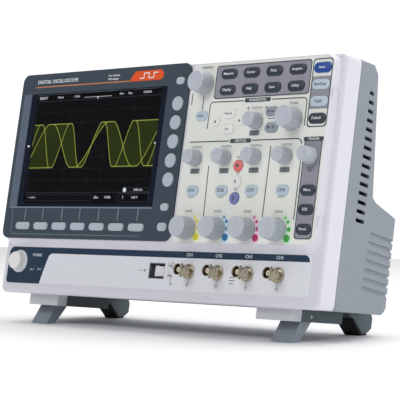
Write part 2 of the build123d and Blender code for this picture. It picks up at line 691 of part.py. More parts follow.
with BuildPart() as chassis_plate:
    with BuildSketch(front.offset(-CHASSIS_Y)):
        with Locations((0, (CASE_TOP + underside(CHASSIS_Y)) / 2)):
            plate_h = CASE_TOP - underside(CHASSIS_Y) - 2 * CHASSIS_MARGIN
            RectangleRounded(CASE_W - 2 * CHASSIS_MARGIN, plate_h, 4.0)
            with GridLocations(2 * CABLE_SLOT_X, 0, 2, 1):
                RectangleRounded(*CABLE_SLOT, 6.0, mode=Mode.SUBTRACT)
    extrude(amount=-CHASSIS_T)
save(chassis_plate, "chassis_plate")

with BuildPart() as main_board:
    with BuildSketch(front.offset(-MAIN_Y)):
        with Locations(MAIN_MIDDLE):
            Rectangle(*MAIN_BOARD)
    extrude(amount=-BOARD_T)
    with BuildSketch(front.offset(-MAIN_Y - BOARD_T)):
        for x, z, chip_side in CHIPS:
            with Locations((x, z)):
                Rectangle(chip_side, chip_side)
        with Locations((MAIN_MIDDLE[0], MAIN_MIDDLE[1] + MAIN_BOARD[1] / 3)):
            with GridLocations(INPUT_CHIP_PITCH, 0, CHANNELS, 1):
                Rectangle(*INPUT_CHIP)
    extrude(amount=-CHIP_T)
save(main_board, "main_board")

with BuildPart() as power_supply:
    with BuildSketch(front.offset(-SUPPLY_Y)):
        with Locations(SUPPLY_MIDDLE):
            Rectangle(*SUPPLY_BOARD)
    extrude(amount=-BOARD_T)
    with BuildSketch(front.offset(-SUPPLY_Y - BOARD_T)):
        with Locations((SUPPLY_MIDDLE[0] + 25.0, SUPPLY_MIDDLE[1] + 8.0)):
            Rectangle(*TRANSFORMER)
        with Locations((SUPPLY_MIDDLE[0] - 15.0, SUPPLY_MIDDLE[1] - 18.0)):
            with GridLocations(CAPACITOR_PITCH, 0, 2, 1):
                Circle(CAPACITOR_R)
    extrude(amount=-TALL_PARTS)
save(power_supply, "power_supply")


# --- Rear casing -------------------------------------------------------------------------
def rear_solid(inset):
    """The rear casing's outer shape, drawn in by inset on every side but the seam."""
    seam_half = CASE_W / 2 - inset
    back_y = BULGE_Y - inset
    back_half = seam_half - tan(radians(SIDE_TAPER)) * (BULGE_Y - SEAM_Y)
    with BuildPart() as solid:
        with BuildSketch(side):
            with BuildLine():
                Polyline(
                    (SEAM_Y, underside(SEAM_Y)),
                    (BULGE_FOOT_Y, underside(BULGE_FOOT_Y)),
                    BULGE_LOW,
                    (BULGE_Y, BULGE_TOP_Z - 4.5),
                    (BULGE_Y - 6.0, BULGE_TOP_Z + 1.0),
                    (WAIST[0] + 6.0, WAIST[1] - 3.0),
                    WAIST,
                    SHOULDER_END,
                    (SHOULDER_Y, CASE_TOP),
                    (SEAM_Y, CASE_TOP),
                    close=True,
                )
            make_face()
            if inset:
                offset(amount=-inset, kind=Kind.INTERSECTION)
                # carries the hollow through the open end at the seam
                with Locations((SEAM_Y + inset, (CASE_TOP + underside(SEAM_Y)) / 2)):
                    Rectangle(2.2 * inset, CASE_TOP - underside(SEAM_Y) - 2 * inset)
        extrude(amount=CASE_W / 2, both=True)
        with BuildSketch(inst) as plan:
            with BuildLine():
                Polyline(
                    (-seam_half, 0),
                    (-seam_half, SEAM_Y),
                    (-back_half, back_y),
                    (back_half, back_y),
                    (seam_half, SEAM_Y),
                    (seam_half, 0),
                    close=True,
                )
            make_face()
            fillet(plan.vertices().sort_by(Axis.Y)[-2:], radius=REAR_CORNER_R - inset)
        extrude(amount=CASE_TOP + 10, both=True, mode=Mode.INTERSECT)
        with BuildSketch(front.offset(-BULGE_Y - 5)):
            with Locations((0, (CASE_TOP + UNDER_Z0) / 2)):
                RectangleRounded(CASE_W - 2 * inset, CASE_TOP - UNDER_Z0 - 2 * inset, CORNER_R - inset)
        extrude(amount=BULGE_Y + 5, mode=Mode.INTERSECT)
    return solid.part


with BuildPart() as groove_bands:
    with BuildSketch(side):
        for i in range(GROOVES):
            with Locations(((GROOVE_Y0 - 1.0 * i + BULGE_Y + 10) / 2, GROOVE_TOP_Z - GROOVE_PITCH * i)):
                Rectangle(BULGE_Y + 10 - GROOVE_Y0 + 1.0 * i, GROOVE_H)
    extrude(amount=CASE_W / 2, both=True)
    with BuildSketch(inst):
        Rectangle(2 * GROOVE_X0, 4 * BULGE_Y)
    extrude(amount=CASE_TOP, both=True, mode=Mode.SUBTRACT)
    add(rear_solid(GROOVE_DEPTH), mode=Mode.SUBTRACT)

with BuildPart() as seam_ring:
    with BuildSketch(front.offset(-SEAM_Y - SEAM_GAP)):
        with Locations((0, (CASE_TOP + UNDER_Z0) / 2)):
            Rectangle(CASE_W + 2.0, CASE_TOP - UNDER_Z0 + 2.0)
    extrude(amount=SEAM_GAP)
    add(rear_solid(SEAM_GAP_DEPTH), mode=Mode.SUBTRACT)

with BuildPart() as rear_case:
    add(rear_solid(0.0))
    add(rear_solid(CASE_WALL), mode=Mode.SUBTRACT)
    add(groove_bands.part, mode=Mode.SUBTRACT)
    add(seam_ring.part, mode=Mode.SUBTRACT)
    with BuildSketch(side):
        for i in range(VENTS):
            z = VENT_TOP_Z - VENT_PITCH * i
            share = (SHOULDER_END[1] - z) / (SHOULDER_END[1] - WAIST[1])
            wall_y = SHOULDER_END[0] + share * (WAIST[0] - SHOULDER_END[0])
            end_y = min(wall_y - VENT_MARGIN, VENT_MAX_Y)
            with Locations(((VENT_Y0 + end_y) / 2, z)):
                RectangleRounded(end_y - VENT_Y0, VENT_H, 0.8)
    extrude(amount=CASE_W / 2, both=True, mode=Mode.SUBTRACT)
    for seat in screw_seats():
        with BuildSketch(seat):
            Circle(SCREW_R)
        extrude(amount=-SCREW_LENGTH, mode=Mode.SUBTRACT)
    # openings in the back: mains inlet, ports and fan grille
    with BuildSketch(front.offset(-BULGE_Y - 5)):
        with Locations((INLET_X, INLET_Z)):
            Rectangle(INLET_W, INLET_H)
        with Locations((PORTS_X, PORTS_Z)):
            Rectangle(PORTS_W, PORTS_H)
        with Locations((FAN_X, FAN_Z)):
            with GridLocations(0, GRILLE_PITCH, 1, GRILLE_SLOTS):
                SlotOverall(*GRILLE)
    extrude(amount=20.0, mode=Mode.SUBTRACT)
save(rear_case, "rear_case")

# --- Fan, mains inlet and ports at the back ------------------------------------------------
with BuildPart() as fan_frame:
    with BuildSketch(front.offset(-FAN_Y1)):
        with Locations((FAN_X, FAN_Z)):
            RectangleRounded(FAN_SIDE, FAN_SIDE, 4.0)
            Circle(FAN_R + FAN_TIP_GAP, mode=Mode.SUBTRACT)
    extrude(amount=FAN_T)
    with BuildSketch(front.offset(-FAN_Y1)):
        with Locations((FAN_X, FAN_Z)):
            Circle(FAN_HUB_R)
            with PolarLocations(0, 3):
                Rectangle(2 * (FAN_R + FAN_TIP_GAP) + 1.0, FAN_SPOKE)
    extrude(amount=FAN_BACK_T)
    with BuildSketch(front.offset(-FAN_Y1)):
        with Locations((FAN_X, FAN_Z)):
            Circle(FAN_SHAFT_R)
    extrude(amount=FAN_T - 2 * FAN_BACK_T)
save(fan_frame, "fan_frame")

with BuildPart() as fan_rotor:
    rotor_foot = -FAN_Y1 + 1.5 * FAN_BACK_T
    rotor_cap = -FAN_Y1 + FAN_T - 1.5 * FAN_BACK_T
    with BuildSketch(front.offset(rotor_foot)):
        with Locations((FAN_X, FAN_Z)):
            Circle(FAN_HUB_R)
            with PolarLocations((FAN_R + 9.0) / 2, FAN_BLADES):
                Rectangle(FAN_R - 9.0, 7.0, rotation=24.0)
            Circle(FAN_R, mode=Mode.INTERSECT)
            Circle(FAN_SHAFT_R + FIT, mode=Mode.SUBTRACT)
    extrude(amount=rotor_cap - rotor_foot)
    with BuildSketch(front.offset(rotor_cap)):
        with Locations((FAN_X, FAN_Z)):
            Circle(FAN_HUB_R)
    extrude(amount=FAN_CAP_T)
save(fan_rotor, "fan_rotor")

with BuildPart() as mains_inlet:
    with BuildSketch(front.offset(INLET_DEPTH - BULGE_Y)):
        with Locations((INLET_X, INLET_Z)):
            Rectangle(INLET_W, INLET_H)
    extrude(amount=-INLET_DEPTH)
    with BuildSketch(front.offset(-BULGE_Y)):
        with Locations((INLET_X, INLET_Z)):
            Rectangle(*INLET_CAVITY[:2])
    extrude(amount=INLET_CAVITY[2], mode=Mode.SUBTRACT)
    with BuildSketch(front.offset(INLET_CAVITY[2] - BULGE_Y)):
        with Locations((INLET_X, INLET_Z)):
            with GridLocations(BLADE_PITCH, 0, 3, 1):
                Rectangle(*BLADE[:2])
    extrude(amount=-BLADE[2])
save(mains_inlet, "mains_inlet")

with BuildPart() as rear_ports:
    with BuildSketch(front.offset(PORTS_SINK - BULGE_Y)):
        with Locations((PORTS_X, PORTS_Z)):
            Rectangle(PORTS_W, PORTS_H)
    extrude(amount=PORTS_DEPTH)
    with BuildSketch(front.offset(PORTS_SINK - BULGE_Y)):
        with Locations((PORTS_X + NETWORK_X, PORTS_Z)):
            Rectangle(*NETWORK_PORT)
        with Locations((PORTS_X + DEVICE_X, PORTS_Z)):
            Rectangle(*DEVICE_PORT)
        with Locations((PORTS_X + OUTPUT_X, PORTS_Z)):
            Circle(OUTPUT_R)
    extrude(amount=PORT_DEPTH, mode=Mode.SUBTRACT)
save(rear_ports, "rear_ports")

# --- Feet and legs -------------------------------------------------------------------------
PIN_Z = underside(PIN_Y) - PIN_DROP


def hanging_block(x, y0, y1):
    """Profile of a block that hangs from the underside between two depths."""
    with BuildSketch(side_at(x)) as profile:
        with BuildLine():
            Polyline(
                (y0, underside(y0)),
                (y1, underside(y1)),
                (y1, underside(y1) - FOOT_H),
                (y0, underside(y0) - FOOT_H),
                close=True,
            )
        make_face()
    return profile.sketch


with BuildPart() as foot_blocks:
    for sign in SIDES:
        extrude(hanging_block(sign * FOOT_X, BLOCK_Y0, RAIL_Y0), amount=FOOT_W / 2, both=True)
    fronts = foot_blocks.edges().filter_by(Axis(inst.origin, inst.z_dir), tolerance=0.01)
    fillet(fronts.group_by(OUTWARDS)[-1], radius=2.0)
save(foot_blocks, "foot_blocks")

LEG_SLOT = LEG_W + 2 * LEG_SIDE_GAP
with BuildPart() as foot_rails:
    for sign in SIDES:
        extrude(hanging_block(sign * FOOT_X, RAIL_Y0, RAIL_Y1), amount=FOOT_W / 2, both=True)
        slot = hanging_block(sign * LEG_X, RAIL_Y0 + SLOT_WALL, RAIL_Y1 - SLOT_END)
        extrude(slot, amount=LEG_SLOT / 2, both=True, mode=Mode.SUBTRACT)
        with BuildSketch(side_at(sign * LEG_X)):
            with Locations((PIN_Y, PIN_Z)):
                Circle(PIN_R)
        extrude(amount=LEG_W, both=True, mode=Mode.SUBTRACT)
        # rear post under the bulge, cut short by the pad it stands on
        with BuildSketch(side_at(sign * POST_X)):
            with BuildLine():
                Polyline(
                    (POST_Y0, underside(POST_Y0)),
                    (BULGE_FOOT_Y, underside(BULGE_FOOT_Y)),
                    (POST_Y1 - 2.0, underside(POST_Y1)),
                    (POST_Y1, underside(POST_Y1) - 3.0),
                    (POST_Y1, ground(POST_Y1) + 3 * PAD_T),
                    (PAD_BACK_Y + 2.0, ground(PAD_BACK_Y) + PAD_T + 1.2),
                    (PAD_BACK_Y, ground(PAD_BACK_Y) + PAD_T),
                    (PAD_FRONT_Y + 0.8, ground(PAD_FRONT_Y) + PAD_T),
                    (PAD_KNEE_Y + 1.6, underside(PAD_KNEE_Y) - 4.7),
                    (POST_Y0 + 2.0, underside(POST_Y0) - 2.0),
                    close=True,
                )
            make_face()
        extrude(amount=POST_W / 2, both=True)
    for seat in screw_seats():
        with BuildSketch(seat):
            Circle(SCREW_HEAD_R + CLEAR)
        extrude(amount=SCREW_SINK + 1.0, mode=Mode.SUBTRACT)
        with BuildSketch(seat):
            Circle(SCREW_R + FIT)
        extrude(amount=-SCREW_LENGTH, mode=Mode.SUBTRACT)
save(foot_rails, "foot_rails")

with BuildPart() as rubber_pads:
    for sign in SIDES:
        with BuildSketch(side_at(sign * POST_X)):
            with BuildLine():
                Polyline(
                    (PAD_KNEE_Y, underside(PAD_KNEE_Y) - 6.0),
                    (PAD_FRONT_Y, ground(PAD_FRONT_Y)),
                    (PAD_BACK_Y, ground(PAD_BACK_Y)),
                    (PAD_BACK_Y, ground(PAD_BACK_Y) + PAD_T),
                    (PAD_FRONT_Y + 0.8, ground(PAD_FRONT_Y) + PAD_T),
                    (PAD_KNEE_Y + 1.6, underside(PAD_KNEE_Y) - 4.7),
                    close=True,
                )
            make_face()
        extrude(amount=POST_W / 2, both=True)
save(rubber_pads, "rubber_pads")

with BuildPart() as leg_pins:
    for sign in SIDES:
        with BuildSketch(side_at(sign * LEG_X)):
            with Locations((PIN_Y, PIN_Z)):
                Circle(PIN_R)
        extrude(amount=FOOT_X + FOOT_W / 2 - LEG_X - 0.3, both=True)
save(leg_pins, "leg_pins")

for sign, name in ((-1, "left_leg"), (1, "right_leg")):
    with BuildPart() as leg:
        with BuildSketch(side_at(sign * LEG_X)):
            with BuildLine():
                Polyline(
                    (TIP_Y0, TIP_Z),
                    (TIP_Y1, ground(TIP_Y1)),
                    (PIN_Y + KNUCKLE_R * 0.82, PIN_Z - KNUCKLE_R * 0.57),
                    (PIN_Y, PIN_Z + KNUCKLE_R),
                    (PIN_Y - 8.0, PIN_Z + 0.6),
                    close=True,
                )
            make_face()
            with Locations((PIN_Y, PIN_Z)):
                Circle(KNUCKLE_R)
                Circle(PIN_R + FIT, mode=Mode.SUBTRACT)
        extrude(amount=LEG_W / 2, both=True)
    save(leg, name)

# --- Screws that hold the rails to the casing ------------------------------------------------
with BuildPart() as case_screws:
    for seat in screw_seats():
        with BuildSketch(seat):
            Circle(SCREW_HEAD_R)
        extrude(amount=SCREW_HEAD_T)
        with BuildSketch(seat):
            Circle(SCREW_R)
        extrude(amount=-SCREW_LENGTH)
save(case_screws, "case_screws")
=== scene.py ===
"""Looks of a bench oscilloscope: turned knobs, domed keys, printing, display picture and finishes.

Lengths are millimetres in the instrument's own frame until the last step: x to the right, z up the
front face, p out of it. The frame's joints say where that face is and how far it leans.
"""

import json
import math

import bpy
import numpy as np
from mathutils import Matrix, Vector


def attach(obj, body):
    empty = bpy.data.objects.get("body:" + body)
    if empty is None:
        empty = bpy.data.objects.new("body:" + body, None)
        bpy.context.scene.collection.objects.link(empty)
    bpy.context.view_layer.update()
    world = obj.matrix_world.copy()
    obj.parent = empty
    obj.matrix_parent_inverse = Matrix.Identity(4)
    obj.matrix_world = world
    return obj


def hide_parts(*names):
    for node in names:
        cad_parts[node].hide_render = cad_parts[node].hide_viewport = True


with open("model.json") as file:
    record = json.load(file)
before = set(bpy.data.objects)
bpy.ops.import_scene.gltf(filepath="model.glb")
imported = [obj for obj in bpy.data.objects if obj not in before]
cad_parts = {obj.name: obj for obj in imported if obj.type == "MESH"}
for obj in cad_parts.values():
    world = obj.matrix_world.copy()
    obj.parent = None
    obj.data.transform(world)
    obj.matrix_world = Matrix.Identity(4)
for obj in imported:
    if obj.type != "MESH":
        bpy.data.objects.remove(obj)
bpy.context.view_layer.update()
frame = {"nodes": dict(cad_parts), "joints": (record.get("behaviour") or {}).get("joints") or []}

# --- The instrument's frame -------------------------------------------------------------
MM = 0.001
CHANNELS = 4
COLUMN_X0, COLUMN_PITCH, SCALE_Z, KNOB_JOINT_P = 46.0, 33.1, 61.8, 10.0
joints = {joint["name"]: joint for joint in frame["joints"]}
first_scale = joints["scale_knob_1_turn"]
RIGHT = np.array([1.0, 0.0, 0.0])
OUT = np.array(first_scale["axis"], float)
OUT /= np.linalg.norm(OUT)
UP = np.cross(OUT, RIGHT)
ORIGIN = np.array(first_scale["pos_m"], float) / MM
ORIGIN = ORIGIN - COLUMN_X0 * RIGHT - SCALE_Z * UP - KNOB_JOINT_P * OUT

PANEL_P = 6.5
BEZEL_P = 8.5
GLASS_P = 7.9
PICTURE_P = 6.52  # the picture is bonded to the back of the cover glass
LABEL_P = 0.5
INK = 0.06  # thickness of a printed layer
PANEL_BODY = "instrument"


def at(x, z, p):
    """World points, in metres, for places on the instrument."""
    x, z, p = np.broadcast_arrays(x, z, p)
    spread = x[..., None] * RIGHT + z[..., None] * UP + p[..., None] * OUT
    return (ORIGIN + spread) * MM


def column(i):
    """Middle of a channel's column of controls."""
    return COLUMN_X0 + COLUMN_PITCH * i


def joint_place(name):
    """x and z of a joint that stands on the front."""
    away = np.array(joints[name]["pos_m"], float) / MM - ORIGIN
    return away @ RIGHT, away @ UP


# --- Materials --------------------------------------------------------------------------
def tint(red, green, blue):
    """Linear colour for display values from 0 to 255."""
    share = np.array([red, green, blue]) / 255.0
    linear = np.where(share <= 0.04045, share / 12.92, ((share + 0.055) / 1.055) ** 2.4)
    return (*[float(c) for c in linear], 1.0)


def new_group(name, inputs, outputs):
    """An empty node group with named sockets; returns it with its two end nodes."""
    group = bpy.data.node_groups.new(name, "ShaderNodeTree")
    for label, kind, value in inputs:
        socket = group.interface.new_socket(label, in_out="INPUT", socket_type=kind)
        socket.default_value = value
    for label, kind in outputs:
        group.interface.new_socket(label, in_out="OUTPUT", socket_type=kind)
    return group, group.nodes.new("NodeGroupInput"), group.nodes.new("NodeGroupOutput")


def wire(tree, source, target):
    """Links two sockets."""
    tree.links.new(source, target)


def noise(tree, place, scale, detail=2.0, rough=0.5):
    """A noise node reading a place socket."""
    node = tree.nodes.new("ShaderNodeTexNoise")
    node.inputs["Detail"].default_value = detail
    node.inputs["Roughness"].default_value = rough
    wire(tree, place, node.inputs["Vector"])
    if isinstance(scale, float):
        node.inputs["Scale"].default_value = scale
    else:
        wire(tree, scale, node.inputs["Scale"])
    return node.outputs["Fac"]


def math_node(tree, operation, first, second, clamp=False):
    """A math node over two sockets or numbers."""
    node = tree.nodes.new("ShaderNodeMath")
    node.operation, node.use_clamp = operation, clamp
    for socket, value in zip(node.inputs, (first, second)):
        if isinstance(value, (int, float)):
            socket.default_value = value
        else:
            wire(tree, value, socket)
    return node.outputs[0]


def mix_colour(tree, factor, first, second):
    """A colour mix over sockets."""
    node = tree.nodes.new("ShaderNodeMix")
    node.data_type = "RGBA"
    wire(tree, factor, node.inputs[0])
    for socket, value in ((node.inputs[6], first), (node.inputs[7], second)):
        wire(tree, value, socket)
    return node.outputs[2]


def moulding_group():
    """Moulded plastic: soft cloudiness in tone and roughness, and a fine spark-eroded grain."""
    group, ends_in, ends_out = new_group(
        "moulding",
        [
            ("Colour", "NodeSocketColor", (0.5, 0.5, 0.5, 1)),
            ("Shade", "NodeSocketColor", (0.4, 0.4, 0.4, 1)),
            ("Cloud scale", "NodeSocketFloat", 30.0),
            ("Grain scale", "NodeSocketFloat", 1800.0),
            ("Roughness", "NodeSocketFloat", 0.5),
            ("Roughness spread", "NodeSocketFloat", 0.1),
        ],
        [("Colour", "NodeSocketColor"), ("Roughness", "NodeSocketFloat"), ("Grain", "NodeSocketFloat")],
    )
    place = group.nodes.new("ShaderNodeTexCoord").outputs["Object"]
    cloud = noise(group, place, ends_in.outputs["Cloud scale"], 3.0)
    grain = noise(group, place, ends_in.outputs["Grain scale"], 2.0, 0.6)
    speckle = math_node(group, "MULTIPLY", math_node(group, "SUBTRACT", grain, 0.5), 0.25)
    share = math_node(group, "ADD", math_node(group, "MULTIPLY", cloud, 0.9), speckle, clamp=True)
    colour = mix_colour(group, share, ends_in.outputs["Colour"], ends_in.outputs["Shade"])
    swing = math_node(group, "MULTIPLY", math_node(group, "SUBTRACT", cloud, 0.5), ends_in.outputs[5])
    rough = math_node(group, "ADD", ends_in.outputs["Roughness"], swing, clamp=True)
    wire(group, colour, ends_out.inputs["Colour"])
    wire(group, rough, ends_out.inputs["Roughness"])
    wire(group, grain, ends_out.inputs["Grain"])
    return group


def dust_group():
    """Settled dust: a pale film where a surface faces up, broken up by noise."""
    group, ends_in, ends_out = new_group(
        "settled_dust",
        [
            ("Colour", "NodeSocketColor", (0.5, 0.5, 0.5, 1)),
            ("Dust", "NodeSocketColor", (0.6, 0.6, 0.58, 1)),
            ("Amount", "NodeSocketFloat", 0.1),
        ],
        [("Colour", "NodeSocketColor")],
    )
    place = group.nodes.new("ShaderNodeTexCoord").outputs["Object"]
    facing = group.nodes.new("ShaderNodeSeparateXYZ")
    wire(group, group.nodes.new("ShaderNodeNewGeometry").outputs["Normal"], facing.inputs[0])
    upward = math_node(group, "MULTIPLY", facing.outputs["Z"], 1.0, clamp=True)
    patch = noise(group, place, 140.0, 4.0, 0.6)
    film = math_node(group, "MULTIPLY", math_node(group, "MULTIPLY", upward, patch), ends_in.outputs[2], True)
    wire(group, mix_colour(group, film, ends_in.outputs[0], ends_in.outputs[1]), ends_out.inputs[0])
    return group


MOULDING = moulding_group()
DUST = dust_group()


def plastic(name, colour, shade=0.9, rough=0.45, spread=0.1, cloud=30.0, grain=1800.0, bump=0.02,
            dust=0.08, metallic=0.0, coat=0.0, gloss=0.5, sheen=0.0):
    """A moulded, printed or plated finish from the shared groups; shade darkens the cloud's tone."""
    material = bpy.data.materials.new(name)
    material.use_nodes = True
    tree = material.node_tree
    shader = tree.nodes["Principled BSDF"]
    shader.inputs["Metallic"].default_value = metallic
    shader.inputs["Coat Weight"].default_value = coat
    shader.inputs["Sheen Weight"].default_value = sheen
    shader.inputs["Specular IOR Level"].default_value = gloss
    base = tint(*colour)
    body = tree.nodes.new("ShaderNodeGroup")
    body.node_tree = MOULDING
    body.inputs["Colour"].default_value = base
    body.inputs["Shade"].default_value = (*[c * shade for c in base[:3]], 1.0)
    body.inputs["Cloud scale"].default_value = cloud
    body.inputs["Grain scale"].default_value = grain
    body.inputs["Roughness"].default_value = rough
    body.inputs["Roughness spread"].default_value = spread
    film = tree.nodes.new("ShaderNodeGroup")
    film.node_tree = DUST
    film.inputs["Amount"].default_value = dust
    wire(tree, body.outputs["Colour"], film.inputs["Colour"])
    wire(tree, film.outputs["Colour"], shader.inputs["Base Color"])
    wire(tree, body.outputs["Roughness"], shader.inputs["Roughness"])
    relief = tree.nodes.new("ShaderNodeBump")
    relief.inputs["Strength"].default_value = bump
    relief.inputs["Distance"].default_value = 0.0003
    wire(tree, body.outputs["Grain"], relief.inputs["Height"])
    wire(tree, relief.outputs["Normal"], shader.inputs["Normal"])
    return material


def clear_glass():
    """Cover glass: clear, smooth, with a faint wiped streak in its roughness."""
    material = bpy.data.materials.new("cover_glass")
    material.use_nodes = True
    tree = material.node_tree
    shader = tree.nodes["Principled BSDF"]
    shader.inputs["Base Color"].default_value = (0.92, 0.95, 1.0, 1.0)
    shader.inputs["Transmission Weight"].default_value = 1.0
    shader.inputs["IOR"].default_value = 1.16
    place = tree.nodes.new("ShaderNodeTexCoord").outputs["Object"]
    streak = noise(tree, place, 25.0, 3.0)
    wire(tree, math_node(tree, "MULTIPLY", streak, 0.03), shader.inputs["Roughness"])
    return material


def screen_light(name, colour, strength, ripple=0.3):
    """Light from the display: its colour and a fine pixel ripple, on a black base."""
    material = bpy.data.materials.new(name)
    material.use_nodes = True
    tree = material.node_tree
    shader = tree.nodes["Principled BSDF"]
    shader.inputs["Roughness"].default_value = 0.6
    shader.inputs["Specular IOR Level"].default_value = 0.1
    shader.inputs["Emission Strength"].default_value = strength
    base = tint(*colour)
    place = tree.nodes.new("ShaderNodeTexCoord").outputs["Object"]
    share = noise(tree, place, 900.0, 1.0)
    body = tree.nodes.new("ShaderNodeMix")
    body.data_type = "RGBA"
    body.inputs[6].default_value = base
    body.inputs[7].default_value = (*[c * (1 - ripple) for c in base[:3]], 1.0)
    wire(tree, share, body.inputs[0])
    wire(tree, body.outputs[2], shader.inputs["Emission Color"])
    dark = tree.nodes.new("ShaderNodeMix")
    dark.data_type = "RGBA"
    dark.inputs[6].default_value = (*[c * 0.25 for c in base[:3]], 1.0)
    dark.inputs[7].default_value = (*[c * 0.15 for c in base[:3]], 1.0)
    wire(tree, share, dark.inputs[0])
    wire(tree, dark.outputs[2], shader.inputs["Base Color"])
    return material


finish = {
    "casing": plastic("white_casing", (225, 224, 233), 0.97, 0.34, 0.08, coat=0.12),
    "panel": plastic("panel_film", (236, 238, 232), 0.97, 0.5, 0.06),
    "label": plastic("label_film", (232, 234, 241), 0.985, 0.38, 0.05, coat=0.1),
    "bezel": plastic("slate_bezel", (57, 70, 84), 0.86, 0.42, 0.1, coat=0.08),
    "bezel_band": plastic("bezel_band", (92, 105, 124), 0.93, 0.4, 0.1),
    "bezel_line": plastic("bezel_line", (140, 152, 166), 0.92, 0.5),
    "mask": plastic("window_print", (13, 24, 42), 0.8, 0.25, 0.05, bump=0.0, dust=0.0, gloss=0.3),
    "rear": plastic("rear_casing", (139, 147, 156), 0.9, 0.6, 0.08, grain=1300.0, bump=0.06, dust=0.15),
    "soft_key": plastic("soft_key", (182, 192, 203), 0.93, 0.55, sheen=0.1),
    "dark_key": plastic("dark_key", (46, 57, 68), 0.85, 0.36, coat=0.1),
    "light_key": plastic("light_key", (192, 208, 222), 0.95, 0.42, coat=0.1),
    "white_key": plastic("white_key", (238, 238, 236), 0.97, 0.38, coat=0.1),
    "blue_key": plastic("blue_key", (28, 74, 158), 0.85, 0.36, coat=0.15),
    "play_key": plastic("play_key", (150, 160, 170), 0.93, 0.42, coat=0.1),
    "pink_key": plastic("pink_key", (226, 122, 122), 0.9, 0.4, coat=0.1),
    "violet_key": plastic("violet_key", (122, 128, 188), 0.9, 0.4, coat=0.1),
    "knob": plastic("knob_body", (176, 183, 190), 0.92, 0.5, 0.1, sheen=0.1),
    # a lighter copy of the knob colour for the face and rim: painted highlight
    "lit_knob_face": plastic("lit_knob_face", (190, 196, 208), 0.95, 0.42, 0.08),
    "nickel": plastic("nickel_plate", (196, 186, 164), 0.75, 0.24, 0.14, cloud=160.0, metallic=1.0),
    # a darker copy of the nickel for inside the bores: painted shade
    "shaded_nickel": plastic("nickel_painted_shade", (112, 104, 92), 0.7, 0.4, 0.14, cloud=160.0, metallic=1.0),
    "cream": plastic("insulator", (226, 218, 196), 0.93, 0.4),
    "tin": plastic("tinned_shell", (188, 190, 194), 0.85, 0.3, 0.12, cloud=120.0, metallic=0.9),
    "white_insert": plastic("socket_insert", (226, 228, 230), 0.96, 0.45),
    "black": plastic("black_plastic", (24, 25, 28), 0.7, 0.5, dust=0.12),
    # flat black for openings that are dark only from shade: painted shade
    "hole_shade": plastic("painted_hole_shade", (10, 10, 12), 0.6, 0.7, dust=0.0),
    "foot_block": plastic("foot_block", (205, 207, 213), 0.93, 0.5, grain=1300.0, bump=0.04),
    "rail": plastic("foot_rail", (70, 86, 92), 0.86, 0.5, grain=1300.0, bump=0.05, dust=0.15),
    "leg": plastic("folding_leg", (136, 147, 158), 0.9, 0.45, grain=1300.0, bump=0.05),
    "rubber": plastic("foot_rubber", (24, 23, 25), 0.7, 0.8, dust=0.2),
    "steel": plastic("plain_steel", (170, 172, 176), 0.8, 0.35, 0.15, cloud=200.0, metallic=1.0),
    "board": plastic("board_green", (32, 92, 62), 0.8, 0.4),
    "sheet_metal": plastic("sheet_metal", (176, 179, 183), 0.85, 0.38, 0.15, cloud=60.0, metallic=1.0),
    "lcd": plastic("display_black", (7, 6, 10), 0.8, 0.5, dust=0.0, gloss=0.1),
    "ink": plastic("ink_dark", (62, 72, 78), 0.88, 0.55),
    "ink_soft": plastic("ink_grey", (128, 134, 140), 0.9, 0.55),
    "plate": plastic("plate_print", (150, 149, 162), 0.96, 0.5),
    "navy": plastic("navy_print", (22, 52, 78), 0.9, 0.32, coat=0.15),
    "ink_white": plastic("ink_white", (236, 240, 244), 0.97, 0.5),
    "orange": plastic("orange_badge", (238, 88, 24), 0.92, 0.35, coat=0.2),
    "orange_line": plastic("orange_line", (206, 128, 88), 0.92, 0.4),
    "yellow": plastic("yellow_dot", (222, 216, 66), 0.95, 0.45),
    "blue": plastic("blue_dot", (38, 112, 170), 0.95, 0.45),
    "magenta": plastic("magenta_dot", (184, 44, 112), 0.95, 0.45),
    "green": plastic("green_dot", (62, 170, 66), 0.95, 0.45),
    "yellow_halo": plastic("yellow_halo", (244, 242, 196), 0.98, 0.5),
    "blue_halo": plastic("blue_halo", (196, 226, 244), 0.98, 0.5),
    "magenta_halo": plastic("magenta_halo", (246, 208, 226), 0.98, 0.5),
    "green_halo": plastic("green_halo", (206, 240, 206), 0.98, 0.5),
    "glass": clear_glass(),
    "trace": screen_light("trace_light", (168, 180, 76), 1.0),
    "trace_fill": screen_light("trace_fill", (46, 56, 16), 0.9, 0.6),
    "grid": screen_light("grid_light", (70, 74, 84), 0.5),
    "readout": screen_light("readout_light", (226, 230, 236), 0.9),
}

# --- Skins and prints -------------------------------------------------------------------
SMOOTH_UNDER = math.radians(38)


def skin(rings, first=None, last=None, closed=True):
    """Joins rows of points into one skin, closed round each row; first and last are end points."""
    rows, count = rings.shape[:2]
    row, step = np.meshgrid(np.arange(rows - 1), np.arange(count if closed else count - 1), indexing="ij")
    after = (step + 1) % count
    quads = np.stack([row * count + step, row * count + after,
                      (row + 1) * count + after, (row + 1) * count + step], -1).reshape(-1, 4)
    points, faces = rings.reshape(-1, 3), quads.tolist()
    turn = np.arange(count)
    for end, start in ((first, 0), (last, (rows - 1) * count)):
        if end is not None:
            fan = np.stack([np.full(count, len(points)), start + turn, start + (turn + 1) % count], -1)
            faces += fan.tolist()
            points = np.vstack([points, end])
    return points, faces


def outward(points, faces):
    """Turns the faces round if the signed volume of their fans about the first point is negative."""
    solid = 0.0
    for sides in (3, 4):
        some = np.array([f for f in faces if len(f) == sides], int).reshape(-1, sides)
        corners = points[some] - points[0]
        for k in range(1, sides - 1):
            solid += np.einsum("ij,ij->", corners[:, 0], np.cross(corners[:, k], corners[:, k + 1]))
    return faces if solid >= 0 else [f[::-1] for f in faces]


def joined(skins):
    """Several skins as one."""
    points, faces, base = [], [], 0
    for some_points, some_faces in skins:
        points.append(some_points)
        faces += [[base + k for k in face] for face in outward(some_points, some_faces)]
        base += len(some_points)
    return np.vstack(points), faces


